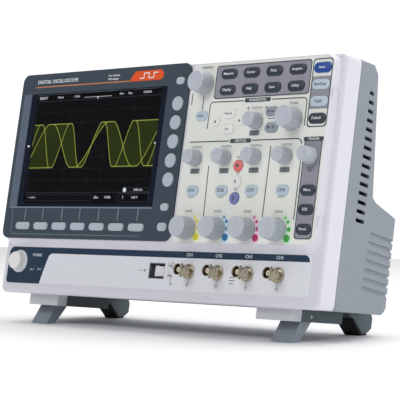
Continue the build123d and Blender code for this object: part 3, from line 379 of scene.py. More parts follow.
def piece(name, skins, material, body=PANEL_BODY, replaces=(), smooth=False):
    """A finished piece from skins in world metres, riding on a body."""
    points, faces = joined(skins)
    mesh = bpy.data.meshes.new(name)
    mesh.from_pydata(points.tolist(), [], faces)
    mesh.polygons.foreach_set("use_smooth", np.full(len(mesh.polygons), smooth))
    if smooth:
        mesh.set_sharp_from_angle(angle=SMOOTH_UNDER)
    mesh.materials.append(finish[material])
    mesh.validate()
    made = bpy.data.objects.new(name, mesh)
    bpy.context.scene.collection.objects.link(made)
    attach(made, body)
    if replaces:
        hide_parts(*replaces)
    return made


def turned(x, z, profile, sides=64, flutes=0, depth=0.0, fluted=(0.0, 0.0)):
    """Profile of (radius, p) carried round (x, z). Between the two p of fluted the radius is
    R - depth * (1 - |cos(flutes * t / 2)|) ** 0.7, so that flutes are narrow and ribs are wide."""
    radius, p = np.array(profile, float).T
    turn = np.linspace(0, 2 * np.pi, sides, endpoint=False)
    dip = depth * (1 - np.abs(np.cos(flutes * turn / 2))) ** 0.7
    cut = ((p > fluted[0]) & (p < fluted[1]) & (flutes > 0))[:, None] * dip
    poles = [at(x, z, p[k]) if radius[k] == 0 else None for k in (0, -1)]
    keep = radius > 0
    reach = radius[keep][:, None] - cut[keep]
    rings = at(x + reach * np.cos(turn), z + reach * np.sin(turn), p[keep][:, None] + 0 * turn)
    return skin(rings, *poles)


def bend(centre, radius, start, stop, steps=6):
    """Points of an arc in (radius, p), angles in degrees."""
    angle = np.radians(np.linspace(start, stop, steps))
    return [(centre[0] + radius * math.cos(a), centre[1] + radius * math.sin(a)) for a in angle]


def rounded(width, height, radius, steps=8):
    """Outline of a rectangle with round corners, anticlockwise about its middle."""
    angle = np.radians(np.linspace(0, 90, steps))
    arc = radius * np.stack([np.cos(angle), np.sin(angle)], -1)
    corner = np.array([width / 2 - radius, height / 2 - radius])
    turns = [arc, arc[:, ::-1] * [-1, 1], -arc, arc[:, ::-1] * [1, -1]]
    signs = [(1, 1), (-1, 1), (-1, -1), (1, -1)]
    return np.vstack([turn + corner * sign for turn, sign in zip(turns, signs)])


def round_disc(radius, steps=28):
    """Outline of a circle."""
    turn = np.linspace(0, 2 * np.pi, steps, endpoint=False)
    return radius * np.stack([np.cos(turn), np.sin(turn)], -1)


def shifted(outline, x, z):
    """An outline moved to a place."""
    return outline + np.array([x, z])


def stroke(path, width):
    """Outline of a line of a given width along an open path, with mitred turns."""
    path = np.array(path, float)
    step = np.diff(path, axis=0)
    step /= np.linalg.norm(step, axis=1)[:, None]
    before, after = np.vstack([step[:1], step]), np.vstack([step, step[-1:]])
    across = np.stack([-(before + after)[:, 1], (before + after)[:, 0]], -1)
    across /= np.linalg.norm(across, axis=1)[:, None]
    lean = np.einsum("ij,ij->i", across, np.stack([-after[:, 1], after[:, 0]], -1))
    across *= (width / 2 / np.maximum(lean, 0.4))[:, None]
    return np.vstack([path + across, (path - across)[::-1]])


def ring_stroke(outline, width):
    """The two outlines of a closed line: outside and inside of an outline about its middle."""
    middle = (outline.max(0) + outline.min(0)) / 2
    half = (outline.max(0) - outline.min(0)) / 2
    return [(outline - middle) * (half + side * width / 2) / half + middle for side in (1, -1)]


def corner_arc(centre, radius, start, stop, steps=7):
    """Points of an arc on the front, angles in degrees."""
    angle = np.radians(np.linspace(start, stop, steps))
    return [(centre[0] + radius * math.cos(a), centre[1] + radius * math.sin(a)) for a in angle]


def taken_from(curve):
    """The points and faces of a flat curve or words, which is then removed."""
    holder = bpy.data.objects.new("layout", curve)
    bpy.context.scene.collection.objects.link(holder)
    bpy.context.view_layer.update()
    mesh = bpy.data.meshes.new_from_object(holder.evaluated_get(bpy.context.evaluated_depsgraph_get()))
    flat = np.zeros(len(mesh.vertices) * 3)
    mesh.vertices.foreach_get("co", flat)
    faces = [list(face.vertices) for face in mesh.polygons]
    bpy.data.objects.remove(holder)
    bpy.data.meshes.remove(mesh)
    return flat.reshape(-1, 3), faces


def laid(flat, faces, p):
    """A flat mesh, in its own x, y and thickness, laid on the front at p."""
    return at(flat[:, 0], flat[:, 1], flat[:, 2] + p), faces


def print_area(loops, p, thick=INK):
    """A printed or cut area between outlines; an outline inside another is a hole."""
    curve = bpy.data.curves.new("area", "CURVE")
    curve.dimensions, curve.fill_mode, curve.extrude = "2D", "BOTH", thick / 2
    for loop in loops:
        spline = curve.splines.new("POLY")
        spline.points.add(len(loop) - 1)
        flat = np.column_stack([loop, np.zeros(len(loop)), np.ones(len(loop))])
        spline.points.foreach_set("co", flat.ravel())
        spline.use_cyclic_u = True
    made = taken_from(curve)
    bpy.data.curves.remove(curve)
    return laid(*made, p + thick / 2)


def line(path, width, p, thick=INK):
    """A printed line of a given width."""
    return print_area([stroke(path, width)], p, thick)


def patch(outline, p, thick=INK):
    """A printed area with one outline."""
    return print_area([outline], p, thick)


def words(text, x, z, size, p, align="CENTER", thick=INK, wide=1.0):
    """Generic words in the plain built-in type, centred on their height."""
    curve = bpy.data.curves.new("words", "FONT")
    curve.body, curve.size, curve.extrude = text, size, thick / 2
    curve.align_x, curve.align_y, curve.resolution_u = align, "CENTER", 2
    curve.offset = 0.012 * size
    flat, faces = taken_from(curve)
    bpy.data.curves.remove(curve)
    flat = flat * [wide, 1, 1] + [x, z, 0]
    return laid(flat, faces, p + thick / 2)


# --- Knobs ------------------------------------------------------------------------------
SKIRT_P = PANEL_P + 0.5
SPINDLE = [(0.0, 1.0), (3.0, 1.0), (3.0, 10.0), (4.8, 10.0), (4.8, SKIRT_P)]
FACE_RIM = 0.75
BIG_KNOB = dict(radius=9.9, top=20.5, flutes=24, depth=0.42, sides=192)
SMALL_KNOB = dict(radius=7.2, top=18.5, flutes=18, depth=0.36, sides=144)
knob_kinds = {"variable_knob": BIG_KNOB, "horizontal_scale_knob": BIG_KNOB,
              "horizontal_position_knob": SMALL_KNOB, "trigger_level_knob": SMALL_KNOB}
for i in range(CHANNELS):
    knob_kinds[f"scale_knob_{i + 1}"] = BIG_KNOB
    knob_kinds[f"position_knob_{i + 1}"] = SMALL_KNOB


def knob(name, radius, top, flutes, depth, sides):
    """Skirt ring, fluted barrel, smooth collar and a face that dishes by 0.35 inside a round rim."""
    x, z = joint_place(f"{name}_turn")
    collar = top - 2.6
    barrel = radius - 0.35
    tip = radius - 0.95
    side = [(radius - 0.25, SKIRT_P), (radius, SKIRT_P + 0.3), (radius, SKIRT_P + 1.6), (barrel, SKIRT_P + 1.9)]
    side += [(barrel - 0.35 * s, SKIRT_P + 2.0 + s * (collar - SKIRT_P - 2.2)) for s in np.linspace(0, 1, 6)]
    side += [(tip + 0.1, collar), (tip, collar + 0.4)]
    rim = bend((tip - FACE_RIM, top - FACE_RIM), FACE_RIM, 0, 90)
    inner = tip - FACE_RIM
    dish = [(inner - 0.5, top - 0.02), (inner - 1.0, top - 0.25), (0.3, top - 0.35), (0.0, top - 0.35)]
    body = turned(x, z, SPINDLE + side + rim + dish, sides, flutes, depth, (SKIRT_P + 1.95, collar - 0.1))
    made = piece(f"{name}_ribbed", [body], "knob", f"{name}_body", [name], smooth=True)
    made.data.materials.append(finish["lit_knob_face"])
    centre = at(x, z, top)
    points = np.zeros(len(made.data.polygons) * 3)
    made.data.polygons.foreach_get("center", points)
    away = (points.reshape(-1, 3) - centre) / MM
    # polygons on the dished face and its rim get the lighter copy of the colour: a painted highlight where they
    # turn to the light
    lit_face_mask = (away @ OUT > -1.2) & (np.hypot(away @ RIGHT, away @ UP) < tip + 0.2)
    made.data.polygons.foreach_set("material_index", lit_face_mask.astype(np.int32))
    pointer = shifted(rounded(0.7, 2.6, 0.3, 4), x, z + tip - FACE_RIM - 2.9)
    piece(f"{name}_pointer", [print_area([pointer], top - 0.36)], "ink_soft", f"{name}_body")


for knob_name, kind in knob_kinds.items():
    knob(knob_name, **kind)

# --- Keys -------------------------------------------------------------------------------
KEY_FOOT_P = 2.0
KEY_TOP_P = PANEL_P + 1.7
SOFT_TOP_P = BEZEL_P + 1.7
SMALL_ROUND, LARGE, CHANNEL, TRIGGER = (10.4, 10.4), (17.5, 8.6), (13.4, 8.6), (15.2, 8.6)
FUNCTION_X = [72.9 + 24.95 * i for i in range(4)]
RUN_X, RUN_Z = 173.6, [195.1 - 14.0 * i for i in range(4)]
TRIGGER_X, CHANNEL_KEY_Z = 172.8, 94.4


def key_cap(x, z, size, top, dome=0.45, edge=0.75, foot=KEY_FOOT_P):
    """A domed cap. Rings of the outline shrink to the middle: the top is top - dome * s ** 2, then a
    quarter round of radius edge turns down into the side."""
    width, height = size
    radius = width / 2 if width == height else 0.46 * height
    outline = rounded(width, height, radius - 0.001, 10)
    middle_turn = np.radians(np.linspace(0, 90, 6))
    half = np.array([width, height]) / 2
    rings, levels = [outline], [foot]
    for angle in middle_turn:
        inset = edge * (1 - math.cos(angle))
        rings.append(outline * (half - inset) / half)
        levels.append(top - dome - edge * (1 - math.sin(angle)))
    flat = rings[-1]
    for share in (0.8, 0.55, 0.3, 0.12):
        rings.append(flat * share)
        levels.append(top - dome * share**2)
    rings = np.array(rings)
    levels = np.array(levels)[:, None] + np.zeros(rings.shape[1])
    place = at(rings[..., 0] + x, rings[..., 1] + z, levels)
    return skin(place, at(x, z, foot), at(x, z, top))


def key_piece(node, keys, material, slot, top=KEY_TOP_P, **shape):
    """The caps of one CAD key node, which rise and fall together."""
    caps = [key_cap(x, z, size, top, **shape) for x, z, size in keys]
    return piece(f"{node}_cap", caps, material, f"{node}_body", [node], smooth=True)


def key_words(node, entries, ink, size=2.7, top=KEY_TOP_P):
    """Printing on a key's cap."""
    skins = [words(text, x, z, size, top - 0.03) for text, x, z in entries]
    piece(f"{node}_words", skins, ink, f"{node}_body")


soft_x = [-162.9 + 24.92 * i for i in range(7)]
side_z = [171.3 - 16.85 * i for i in range(5)]
side_keys = [(18.2, z, (12.6, 12.6)) for z in side_z]
side_keys += [(18.2, 191.6, (9.4, 6.6)), (18.2, 79.8, (9.4, 6.6)), (18.2, 62.5, (10.8, 7.4))]
key_piece("lower_soft_keys", [(x, 61.7, (18.8, 6.8)) for x in soft_x], "soft_key", "soft_key", SOFT_TOP_P)
key_piece("right_soft_keys", side_keys, "soft_key", "soft_key", SOFT_TOP_P)

function_words = ["Measure", "Cursor", "Print", "Acquire", "Display", "Help", "Save", "Utility"]
function_spots = [(x, z) for z in RUN_Z[:2] for x in FUNCTION_X]
key_piece("function_keys", [(x, z, LARGE) for x, z in function_spots], "dark_key", "dark_key")
key_words("function_keys", [(t, x, z) for t, (x, z) in zip(function_words, function_spots)], "ink_white", 3.3)
for node, text, z, material, slot, ink in (
    ("autoset_key", "Auto", RUN_Z[0], "blue_key", "blue_key", "ink_white"),
    ("run_stop_key", "Run/Stop", RUN_Z[1], "light_key", "light_key", "ink"),
    ("single_key", "Single", RUN_Z[2], "light_key", "light_key", "ink"),
    ("default_key", "Default", RUN_Z[3], "dark_key", "dark_key", "ink_white"),
):
    key_piece(node, [(RUN_X, z, LARGE)], material, slot)
    key_words(node, [(text, RUN_X, z)], ink, 3.3)
key_piece("select_key", [(46.6, 159.4, CHANNEL)], "light_key", "dark_key")
key_words("select_key", [("Select", 46.6, 159.4)], "ink", 3.0)
arrows = [(78.2, z, (14.0, 8.0)) for z in (160.4, 147.0)] + [(x, 153.7, (9.0, 8.0)) for x in (64.2, 91.6)]
key_piece("arrow_keys", arrows, "white_key", "dark_key")
key_words("arrow_keys", [("Search", 78.2, 160.4), ("Set", 78.2, 147.0)], "ink", 3.0)
wedge = np.array([(-1.3, 0.0), (1.0, -1.4), (1.0, 1.4)])
piece("arrow_marks", [patch(shifted(wedge, 64.2, 153.7), KEY_TOP_P - 0.03),
                      patch(shifted(wedge * [-1, 1], 91.6, 153.7), KEY_TOP_P - 0.03)],
      "ink", "arrow_keys_body")
key_piece("zoom_key", [(125.0, 160.6, (12.4, 8.0))], "play_key", "dark_key")
key_words("zoom_key", [("Zoom", 125.0, 160.6)], "ink", 3.0)
key_piece("play_key", [(126.6, 147.0, (14.0, 8.6))], "play_key", "dark_key")
bars = [shifted(rounded(0.7, 3.0, 0.1, 2), 128.6 + d, 147.0) for d in (0.0, 1.5)]
piece("play_marks", [patch(shifted(wedge * [-1.3, 1.3], 124.6, 147.0), KEY_TOP_P - 0.03)]
      + [print_area([bar], KEY_TOP_P - 0.03) for bar in bars], "ink", "play_key_body")
for node, text, z, material in (
    ("math_key", "M", 115.3, "pink_key"),
    ("reference_key", "R", 101.6, "white_key"),
    ("bus_key", "B", 87.9, "violet_key"),
):
    key_piece(node, [(95.4, z, SMALL_ROUND)], material, material)
    key_words(node, [(text, 95.4, z)], "ink", 4.2)
for node, text, z in (("trigger_menu_key", "Menu", 94.4), ("trigger_half_key", "50%", 78.6),
                      ("trigger_force_key", "Force", 62.7)):
    key_piece(node, [(TRIGGER_X, z, TRIGGER)], "dark_key", "dark_key")
    key_words(node, [(text, TRIGGER_X, z)], "ink_white", 3.3)
for i in range(CHANNELS):
    node = f"channel_key_{i + 1}"
    key_piece(node, [(column(i) + 0.8, CHANNEL_KEY_Z, CHANNEL)], "light_key", "yellow_key")
    key_words(node, [(f"CH{i + 1}", column(i) + 0.8, CHANNEL_KEY_Z)], "ink", 4.0)

power_x, power_z = -169.2, 29.2
power_profile = [(0.0, -4.9), (9.4, -4.9), (9.4, -3.3), (8.0, -3.3)] + bend((6.9, 7.4), 1.1, 0, 90)
power_profile += [(5.6, 8.46), (3.0, 8.36), (0.0, 8.3)]
piece("power_button_cap", [turned(power_x, power_z, power_profile, 72)], "white_key",
      "power_button_body", ["power_button"], smooth=True)

# --- Printing on the control panel --------------------------------------------------------
LINE = 0.95
dark, soft, white_ink = [], [], []


def key_hole(x, z, size):
    """The hole that a printed plate leaves for a key."""
    width, height = size[0] + 0.4, size[1] + 0.4
    return shifted(rounded(width, height, 0.46 * height, 8), x, z)


def pill(text, x, z, width, height=3.6):
    """A dark printed bar with its heading in it."""
    dark.append(patch(shifted(rounded(width, height, 1.1, 5), x, z), line_p))
    white_ink.append(words(text, x, z, 2.9, line_p + INK))


# the film that the printing lies on, with a hole for every key and knob
FILM = 0.03
run_spots = [(RUN_X, z, LARGE) for z in RUN_Z]
film_keys = [(x, z, LARGE) for x, z in function_spots] + run_spots + arrows
film_keys += [(46.6, 159.4, CHANNEL), (125.0, 160.6, (12.4, 8.0)), (126.6, 147.0, (14.0, 8.6))]
film_keys += [(95.4, z, SMALL_ROUND) for z in (115.3, 101.6, 87.9)]
film_keys += [(TRIGGER_X, z, TRIGGER) for z in (94.4, 78.6, 62.7)]
film_keys += [(column(i) + 0.8, CHANNEL_KEY_Z, CHANNEL) for i in range(CHANNELS)]
film_holes = [key_hole(*spot) for spot in film_keys]
film_holes += [shifted(round_disc(4.5), *joint_place(f"{name}_turn")) for name in knob_kinds]
film_edge = np.array([(30.6, 50.4)] + corner_arc((175.4, 58.8), 8.4, -90, 0, 9)
                     + corner_arc((175.4, 196.7), 8.4, 0, 90, 9) + [(30.6, 205.1)])
piece("panel_film", [print_area([film_edge, *film_holes], PANEL_P, FILM)], "panel")
line_p = PANEL_P + FILM

dark.append(words("VARIABLE", 46.4, 202.2, 3.0, line_p))
dark.append(line([(46.1, 177.6), (46.1, 164.6)], LINE, line_p))
dark.append(line([(32.8, 180.2), (32.8, 169.8)], 0.9, line_p))

plate = shifted(rounded(103.3, 28.3, 3.0), 109.75, 188.35)
holes = [key_hole(x, z, LARGE) for x, z in function_spots]
piece("function_plate", [print_area([plate, *holes], line_p)], "plate")
dark.append(print_area(ring_stroke(plate, LINE), line_p + 0.01))
run_frame = shifted(rounded(19.6, 56.1, 3.2), 173.3, 174.45)
dark.append(print_area(ring_stroke(run_frame, LINE), line_p + 0.01))
run_zone = shifted(rounded(18.9, 27.0, 0.4, 3), 173.3, 174.5)
run_holes = [key_hole(RUN_X, z, LARGE) for z in RUN_Z[1:3]]
piece("run_zone", [print_area([run_zone, *run_holes], line_p)],
      "plate")

# horizontal section: two arms of a frame that start at the heading
left_arm = [(92.6, 171.0), (59.6, 171.2)] + corner_arc((58.6, 167.6), 3.6, 100, 178) + [(54.6, 148.2)]
right_arm = [(123.6, 171.0), (156.6, 170.9)] + corner_arc((157.2, 167.2), 3.6, 80, 2) + [(161.0, 147.4)]
dark += [line(arm, LINE, line_p) for arm in (left_arm, right_arm)]
pill("HORIZONTAL", 107.8, 171.2, 28.4)
triangle = np.array([(-1.6, 0.0), (1.1, -1.5), (1.1, 1.5)])
for x, flip in ((98.4, 1), (118.4, -1)):
    shape = triangle * [flip, 1]
    dark.append(print_area([shifted(shape, x, 164.3), shifted(shape * 0.45, x - 0.05 * flip, 164.3)], line_p))
soft.append(words("POSITION", 108.4, 164.3, 2.6, line_p))
dark.append(words("SCALE", 147.5, 166.8, 2.9, line_p))
dark.append(line([(121.5, 154.6), (129.0, 154.6)], 0.6, line_p))


def push_plate(x, z):
    """The small grey note under a knob that is pushed to bring its trace to zero."""
    soft.append(patch(shifted(rounded(10.6, 4.4, 0.4, 3), x, z), line_p))
    dark.append(words("PUSH TO", x, z + 1.0, 1.9, line_p + INK))
    dark.append(words("ZERO", x, z - 1.1, 1.9, line_p + INK))


push_plate(108.3, 143.0)

# vertical section
dark.append(line([(36.3, 136.9), (81.4, 136.8)], LINE, line_p))
arm = [(107.0, 136.8), (155.0, 137.0)] + corner_arc((155.6, 132.2), 4.8, 88, 4)
dark.append(line(arm, LINE, line_p))
pill("VERTICAL", 94.35, 136.7, 23.2)
for i in range(CHANNELS):
    soft.append(words("POSITION", column(i), 132.2, 2.5, line_p))
    push_plate(column(i) + 0.5, 111.4)
    dark.append(words("SCALE", column(i) - 0.6, 76.9, 2.9, line_p))
    soft.append(line([(column(i) - 3.4, 88.9), (column(i) + 3.4, 88.9)], 0.7, line_p))
for high, low in (((61.9, 116.0), (63.0, 72.5)), ((128.2, 131.5), (128.2, 72.0)), ((161.4, 130.5), (161.4, 70.0))):
    dark.append(line([high, low], LINE, line_p))
for text, z in (("MATH", 122.6), ("REF", 108.9), ("BUS", 95.2)):
    soft.append(words(text, 96.0, z, 2.2, line_p))

# trigger section
trigger_plate = shifted(rounded(17.4, 80.4, 3.0), 172.6, 95.3)
trigger_holes = [key_hole(TRIGGER_X, z, TRIGGER) for z in (94.4, 78.6, 62.7)]
trigger_holes.append(shifted(round_disc(4.6), 171.8, 122.4))
piece("trigger_plate", [print_area([trigger_plate, *trigger_holes], line_p)], "plate")
dark.append(print_area(ring_stroke(trigger_plate, LINE), line_p + 0.01))
pill("TRIGGER", 172.4, 136.3, 20.4)
dark.append(words("PUSH TO", 172.2, 112.4, 1.9, line_p + INK))
dark.append(words("ZERO", 172.2, 110.3, 1.9, line_p + INK))

piece("panel_print_dark", dark, "ink")
piece("panel_print_grey", soft, "ink_soft")
piece("panel_print_white", white_ink, "ink_white")

# growing dots beside each scale knob, on a pale halo
DOTS = [(7.5, 10.1, 0.95), (10.6, 6.6, 1.35), (12.3, 0.6, 1.9), (11.1, -6.8, 3.1)]
for i, hue in enumerate(("yellow", "blue", "magenta", "green")):
    spots = [(column(i) + dx, SCALE_Z + dz, r) for dx, dz, r in DOTS]
    halos = [patch(shifted(round_disc(r + 1.3), x, z), line_p + 0.004 * k) for k, (x, z, r) in enumerate(spots)]
    piece(f"channel_{i + 1}_halo", halos, f"{hue}_halo")
    dots = [patch(shifted(round_disc(r), x, z), line_p + INK) for x, z, r in spots]
    piece(f"channel_{i + 1}_dots", dots, hue)

# --- Bezel, display window and picture ----------------------------------------------------
WINDOW = (-175.2, 3.0, 80.2, 187.8)
PICTURE = (-168.3, -3.5, 82.9, 187.0)


def box_outline(left, right, low, high, radius=0.3):
    """Outline of an upright rectangle from its sides."""
    return shifted(rounded(right - left, high - low, radius, 4), (left + right) / 2, (low + high) / 2)


window, picture = box_outline(*WINDOW, 1.4), box_outline(*PICTURE)
piece("window_mask", [print_area([window, picture], GLASS_P)], "mask")
piece("bezel_left_band", [patch(box_outline(-186.6, -176.2, 79.8, 188.2, 1.2), BEZEL_P)],
      "bezel_band")
bezel_lines = [stroke([(x, 78.2), (x + 0.1, 67.4)], 0.8)
               for x in (-162.0, -137.8, -111.5, -87.7, -62.9, -38.2, -13.4)]
bezel_lines.append(stroke([(-186.0, 79.2), (3.2, 79.0)], 0.9))
bezel_lines.append(stroke([(-180.6, 77.6), (-179.4, 56.6), (-177.6, 54.6), (-174.0, 54.0), (-8.0, 54.0)], 0.4))
piece("bezel_lines", [patch(path, BEZEL_P) for path in bezel_lines], "bezel_line")

BADGE_Z = (194.0, 203.2)
badge = np.array([(-46.5, BADGE_Z[0]), (-8.2, BADGE_Z[0])] + corner_arc((-8.2, 198.6), 4.6, -90, 90, 9)
                 + [(-37.6, BADGE_Z[1])] + corner_arc((-37.6, 200.0), 3.2, 90, 140, 4))
piece("bezel_badge", [print_area([badge], BEZEL_P)], "orange")
pulse = [(-33.0, 196.4), (-28.0, 196.4), (-28.0, 201.0), (-22.0, 201.0), (-22.0, 196.4), (-16.0, 196.4),
         (-16.0, 201.0), (-11.0, 201.0)]
piece("badge_mark", [line(pulse, 0.9, BEZEL_P + INK)], "ink_white")
piece("bezel_accent", [line([(-172.0, 194.7), (-44.0, 194.6)], 1.1, BEZEL_P)],
      "orange_line")
heading = [words("DIGITAL OSCILLOSCOPE", -170.0, 199.4, 4.8, BEZEL_P, "LEFT", wide=1.05)]
heading.append(words("Four channels", -74.0, 201.0, 2.6, BEZEL_P, "LEFT"))
heading.append(words("Wide display", -74.0, 197.7, 2.6, BEZEL_P, "LEFT"))
piece("bezel_heading", heading, "ink_white")

# persistence picture: traces of one family cross at the trigger point
TRIGGER_POINT, AMPLITUDE, MIDDLE_Z = -86.0, 20.6, 137.6
FAST, SLOW = (12.0, 20.0), (22.0, 36.0)  # first quarter and later half periods


def family(share, x):
    """Height of a trace: a sine of the distance from the trigger point, whose first quarter wave and
    later half waves stretch from the fast pair to the slow pair, with its crests flattened."""
    quarter = FAST[0] + share * (SLOW[0] - FAST[0])
    half = FAST[1] + share * (SLOW[1] - FAST[1])
    away = np.abs(x - TRIGGER_POINT)
    phase = np.where(away < quarter, away / quarter / 2, 0.5 + (away - quarter) / half) * np.pi
    return MIDDLE_Z + AMPLITUDE * np.sign(x - TRIGGER_POINT) * np.clip(1.07 * np.sin(phase), -1, 1)


def trace(share, width, p):
    """A ribbon of a given width along one trace."""
    x = np.linspace(PICTURE[0] + 0.6, PICTURE[1] - 0.6, 200)
    return line(np.stack([x, family(share, x)], -1), width, p, 0.03)


def between_traces(p, rows=20):
    """The faint sheet between the outer traces: one thin strip for each of its many traces."""
    return [trace(share, 1.3, p + 0.002 * k) for k, share in enumerate(np.linspace(0.03, 0.97, rows))]


def crest_lines(p):
    """Bright lines where the traces' crests follow one another, on the right and on the left."""
    lines = []
    for side in (-1, 1):
        for k in range(4):
            near, far = (first + k * half for first, half in (FAST, SLOW))
            x = np.clip(TRIGGER_POINT + side * np.array([near, far]), PICTURE[0] + 0.6, PICTURE[1] - 0.6)
            if abs(x[1] - x[0]) > 0.5:
                z = MIDDLE_Z + AMPLITUDE * side * (-1) ** k
                lines.append(line([(x[0], z), (x[1], z)], 0.55, p, 0.03))
    return lines


piece("display_black", [print_area([picture], PICTURE_P)], "lcd")
piece("traces_faint", between_traces(PICTURE_P + 0.08), "trace_fill")
bright = [trace(share, 0.55, PICTURE_P + 0.16 + 0.01 * k) for k, share in enumerate((0.0, 1.0))]
piece("traces_bright", bright + crest_lines(PICTURE_P + 0.14),
      "trace")
grid_lines = []
for k in range(1, 10):
    x = PICTURE[0] + (PICTURE[1] - PICTURE[0]) * k / 10
    grid_lines.append(line([(x, 94.0), (x, 180.6)], 0.16, PICTURE_P + 0.06, 0.02))
for k in range(1, 8):
    z = 94.0 + (180.6 - 94.0) * k / 8
    grid_lines.append(line([(PICTURE[0] + 0.6, z), (PICTURE[1] - 0.6, z)], 0.16, PICTURE_P + 0.06, 0.02))
grid_lines.append(print_area(ring_stroke(box_outline(PICTURE[0] + 0.8, PICTURE[1] - 0.8, 93.4, 180.8), 0.5),
                             PICTURE_P + 0.07, 0.02))
grid_lines.append(print_area(ring_stroke(box_outline(-166.8, -78.0, 85.6, 91.6), 0.4), PICTURE_P + 0.07, 0.02))
grid_lines.append(print_area(ring_stroke(box_outline(-42.6, -5.0, 84.6, 92.4), 0.5), PICTURE_P + 0.07, 0.02))
grid_lines.append(print_area(ring_stroke(box_outline(-32.6, -5.2, 93.8, 97.2), 0.4), PICTURE_P + 0.07, 0.02))
piece("display_grid", grid_lines, "grid")
marks = [words(text, x, z, size, PICTURE_P + 0.1, align, 0.02) for text, x, z, size, align in (
    ("READY", -166.0, 184.0, 3.6, "LEFT"), ("10k pts", -141.0, 184.0, 2.8, "LEFT"),
    ("1 GSa/s", -119.0, 184.0, 2.8, "LEFT"), ("Auto", -58.0, 184.0, 2.8, "LEFT"),
    ("Stop", -47.0, 184.0, 2.8, "LEFT"), ("12:00:00", -28.0, 184.0, 3.0, "LEFT"),
    ("= 1.00 V", -163.0, 88.6, 2.8, "LEFT"), ("20us", -74.0, 88.8, 3.2, "LEFT"),
    ("0.000s", -60.0, 88.8, 3.0, "LEFT"), ("1", -36.6, 88.6, 4.2, "CENTER"),
    ("0.00 V", -22.0, 88.6, 3.0, "CENTER"), ("1.000 kHz", -19.0, 95.5, 2.8, "CENTER"))]
marks.append(patch(shifted(round_disc(2.1), -35.6, 95.4), PICTURE_P + 0.09, 0.02))
pointer = np.array([(-1.4, 1.6), (1.4, 1.6), (0.0, -0.8)])
marks.append(patch(shifted(pointer, -86.0, 181.0), PICTURE_P + 0.1, 0.02))
marks.append(line([(-104.0, 182.6), (-68.0, 182.6)], 0.35, PICTURE_P + 0.1, 0.02))
marks.append(patch(shifted(np.array([(0.0, 1.5), (-3.0, 0.0), (0.0, -1.5)]), PICTURE[1] - 0.4, 137.2), 
                        PICTURE_P + 0.12, 0.02))
piece("display_readouts", marks, "readout")
piece("trace_marker", [patch(shifted(rounded(3.0, 1.8, 0.5, 4), -171.4, 137.8), GLASS_P + INK)],
      "ink_white")

# --- Moulded rim beside and under the bezel, and the casing's small catches ------------------


def bead(path, radius, p, turns=9):
    """A half-round bead of a given radius along a path on the front."""
    path = np.array(path, float)
    step = np.gradient(path, axis=0)
    step /= np.linalg.norm(step, axis=1)[:, None]
    across = np.stack([-step[:, 1], step[:, 0]], -1)
    angle = np.linspace(0, np.pi, turns)
    offset = across[:, None, :] * (radius * np.cos(angle))[None, :, None]
    flat = path[:, None, :] + offset
    level = p + radius * 1.1 * np.sin(angle)[None, :] + 0 * flat[..., 0]
    rings = at(flat[..., 0], flat[..., 1], level)
    ends = [at(*path[k], p) for k in (0, -1)]
    return skin(rings, *ends)


rim_path = [(29.75, 206.0), (29.75, 160.0), (29.75, 110.0), (29.75, 58.6)]
rim_path += corner_arc((21.3, 58.3), 8.45, 0, -90, 10) + [(-60.0, 49.85), (-120.0, 49.85), (-184.0, 49.85)]
piece("bezel_rim", [bead(rim_path, 0.75, PANEL_P - 0.1)], "casing", smooth=True)
catches = []
for z in (174.6, 69.6):
    outline = rounded(2.6, 8.6, 0.5, 4)
    rings = np.array([outline, outline, outline * [0.72, 0.9]])
    levels = np.array([2.2, 5.2, 5.6])[:, None] + 0 * rings[..., 0]
    place = at(rings[..., 0] + 185.6, rings[..., 1] + z, levels)
    catches.append(skin(place, at(185.6, z, 2.2), at(185.6, z, 5.6)))
piece("panel_catches", catches, "casing", smooth=True)

# --- Lower label: printing, sockets and terminals -------------------------------------------
navy_shape = np.array(
    [(-185.4, 12.0)] + corner_arc((-182.2, 12.0), 3.2, 180, 270, 5)
    + [(-138.9, 8.8), (-135.4, 20.0), (-131.6, 31.0)]
    + corner_arc((-125.0, 31.2), 6.2, 165, 92, 8) + [(178.4, 37.3)] + corner_arc((172.6, 37.3), 5.6, 0, 90, 8)
    + corner_arc((-179.4, 36.9), 6.0, 90, 180, 8))
power_hole = shifted(round_disc(10.55, 48), power_x, power_z)
piece("label_navy", [print_area([navy_shape, power_hole], LABEL_P)], "navy")
label_white = [words("POWER", -146.0, 35.4, 3.6, LABEL_P + INK)]
label_white += [words(f"CH{i + 1}", column(i) + 1.6, 40.1, 4.0, LABEL_P + INK) for i in range(CHANNELS)]
lamps = ((-152.4, 21.9), (-141.9, 22.4))
label_white += [patch(shifted(round_disc(0.8, 12), x, z), LABEL_P + INK) for x, z in lamps]
label_white += [line([(x + 2.2, z - 0.6), (x + 4.0, z + 1.0)], 0.4, LABEL_P + INK)
                for x, z in lamps]
piece("label_print_white", label_white, "ink_white")

BNC_Z, BNC_X0, BNC_PITCH = 25.8, 48.3, 32.9
label_dark = []


def ground_sign(x, z, top):
    """A stem from a socket down to three shortening bars."""
    label_dark.append(line([(x, top), (x, z)], 0.5, LABEL_P))
    for k, half in enumerate((2.0, 1.3, 0.6)):
        label_dark.append(line([(x - half, z - 1.0 * k), (x + half, z - 1.0 * k)], 0.45, LABEL_P))


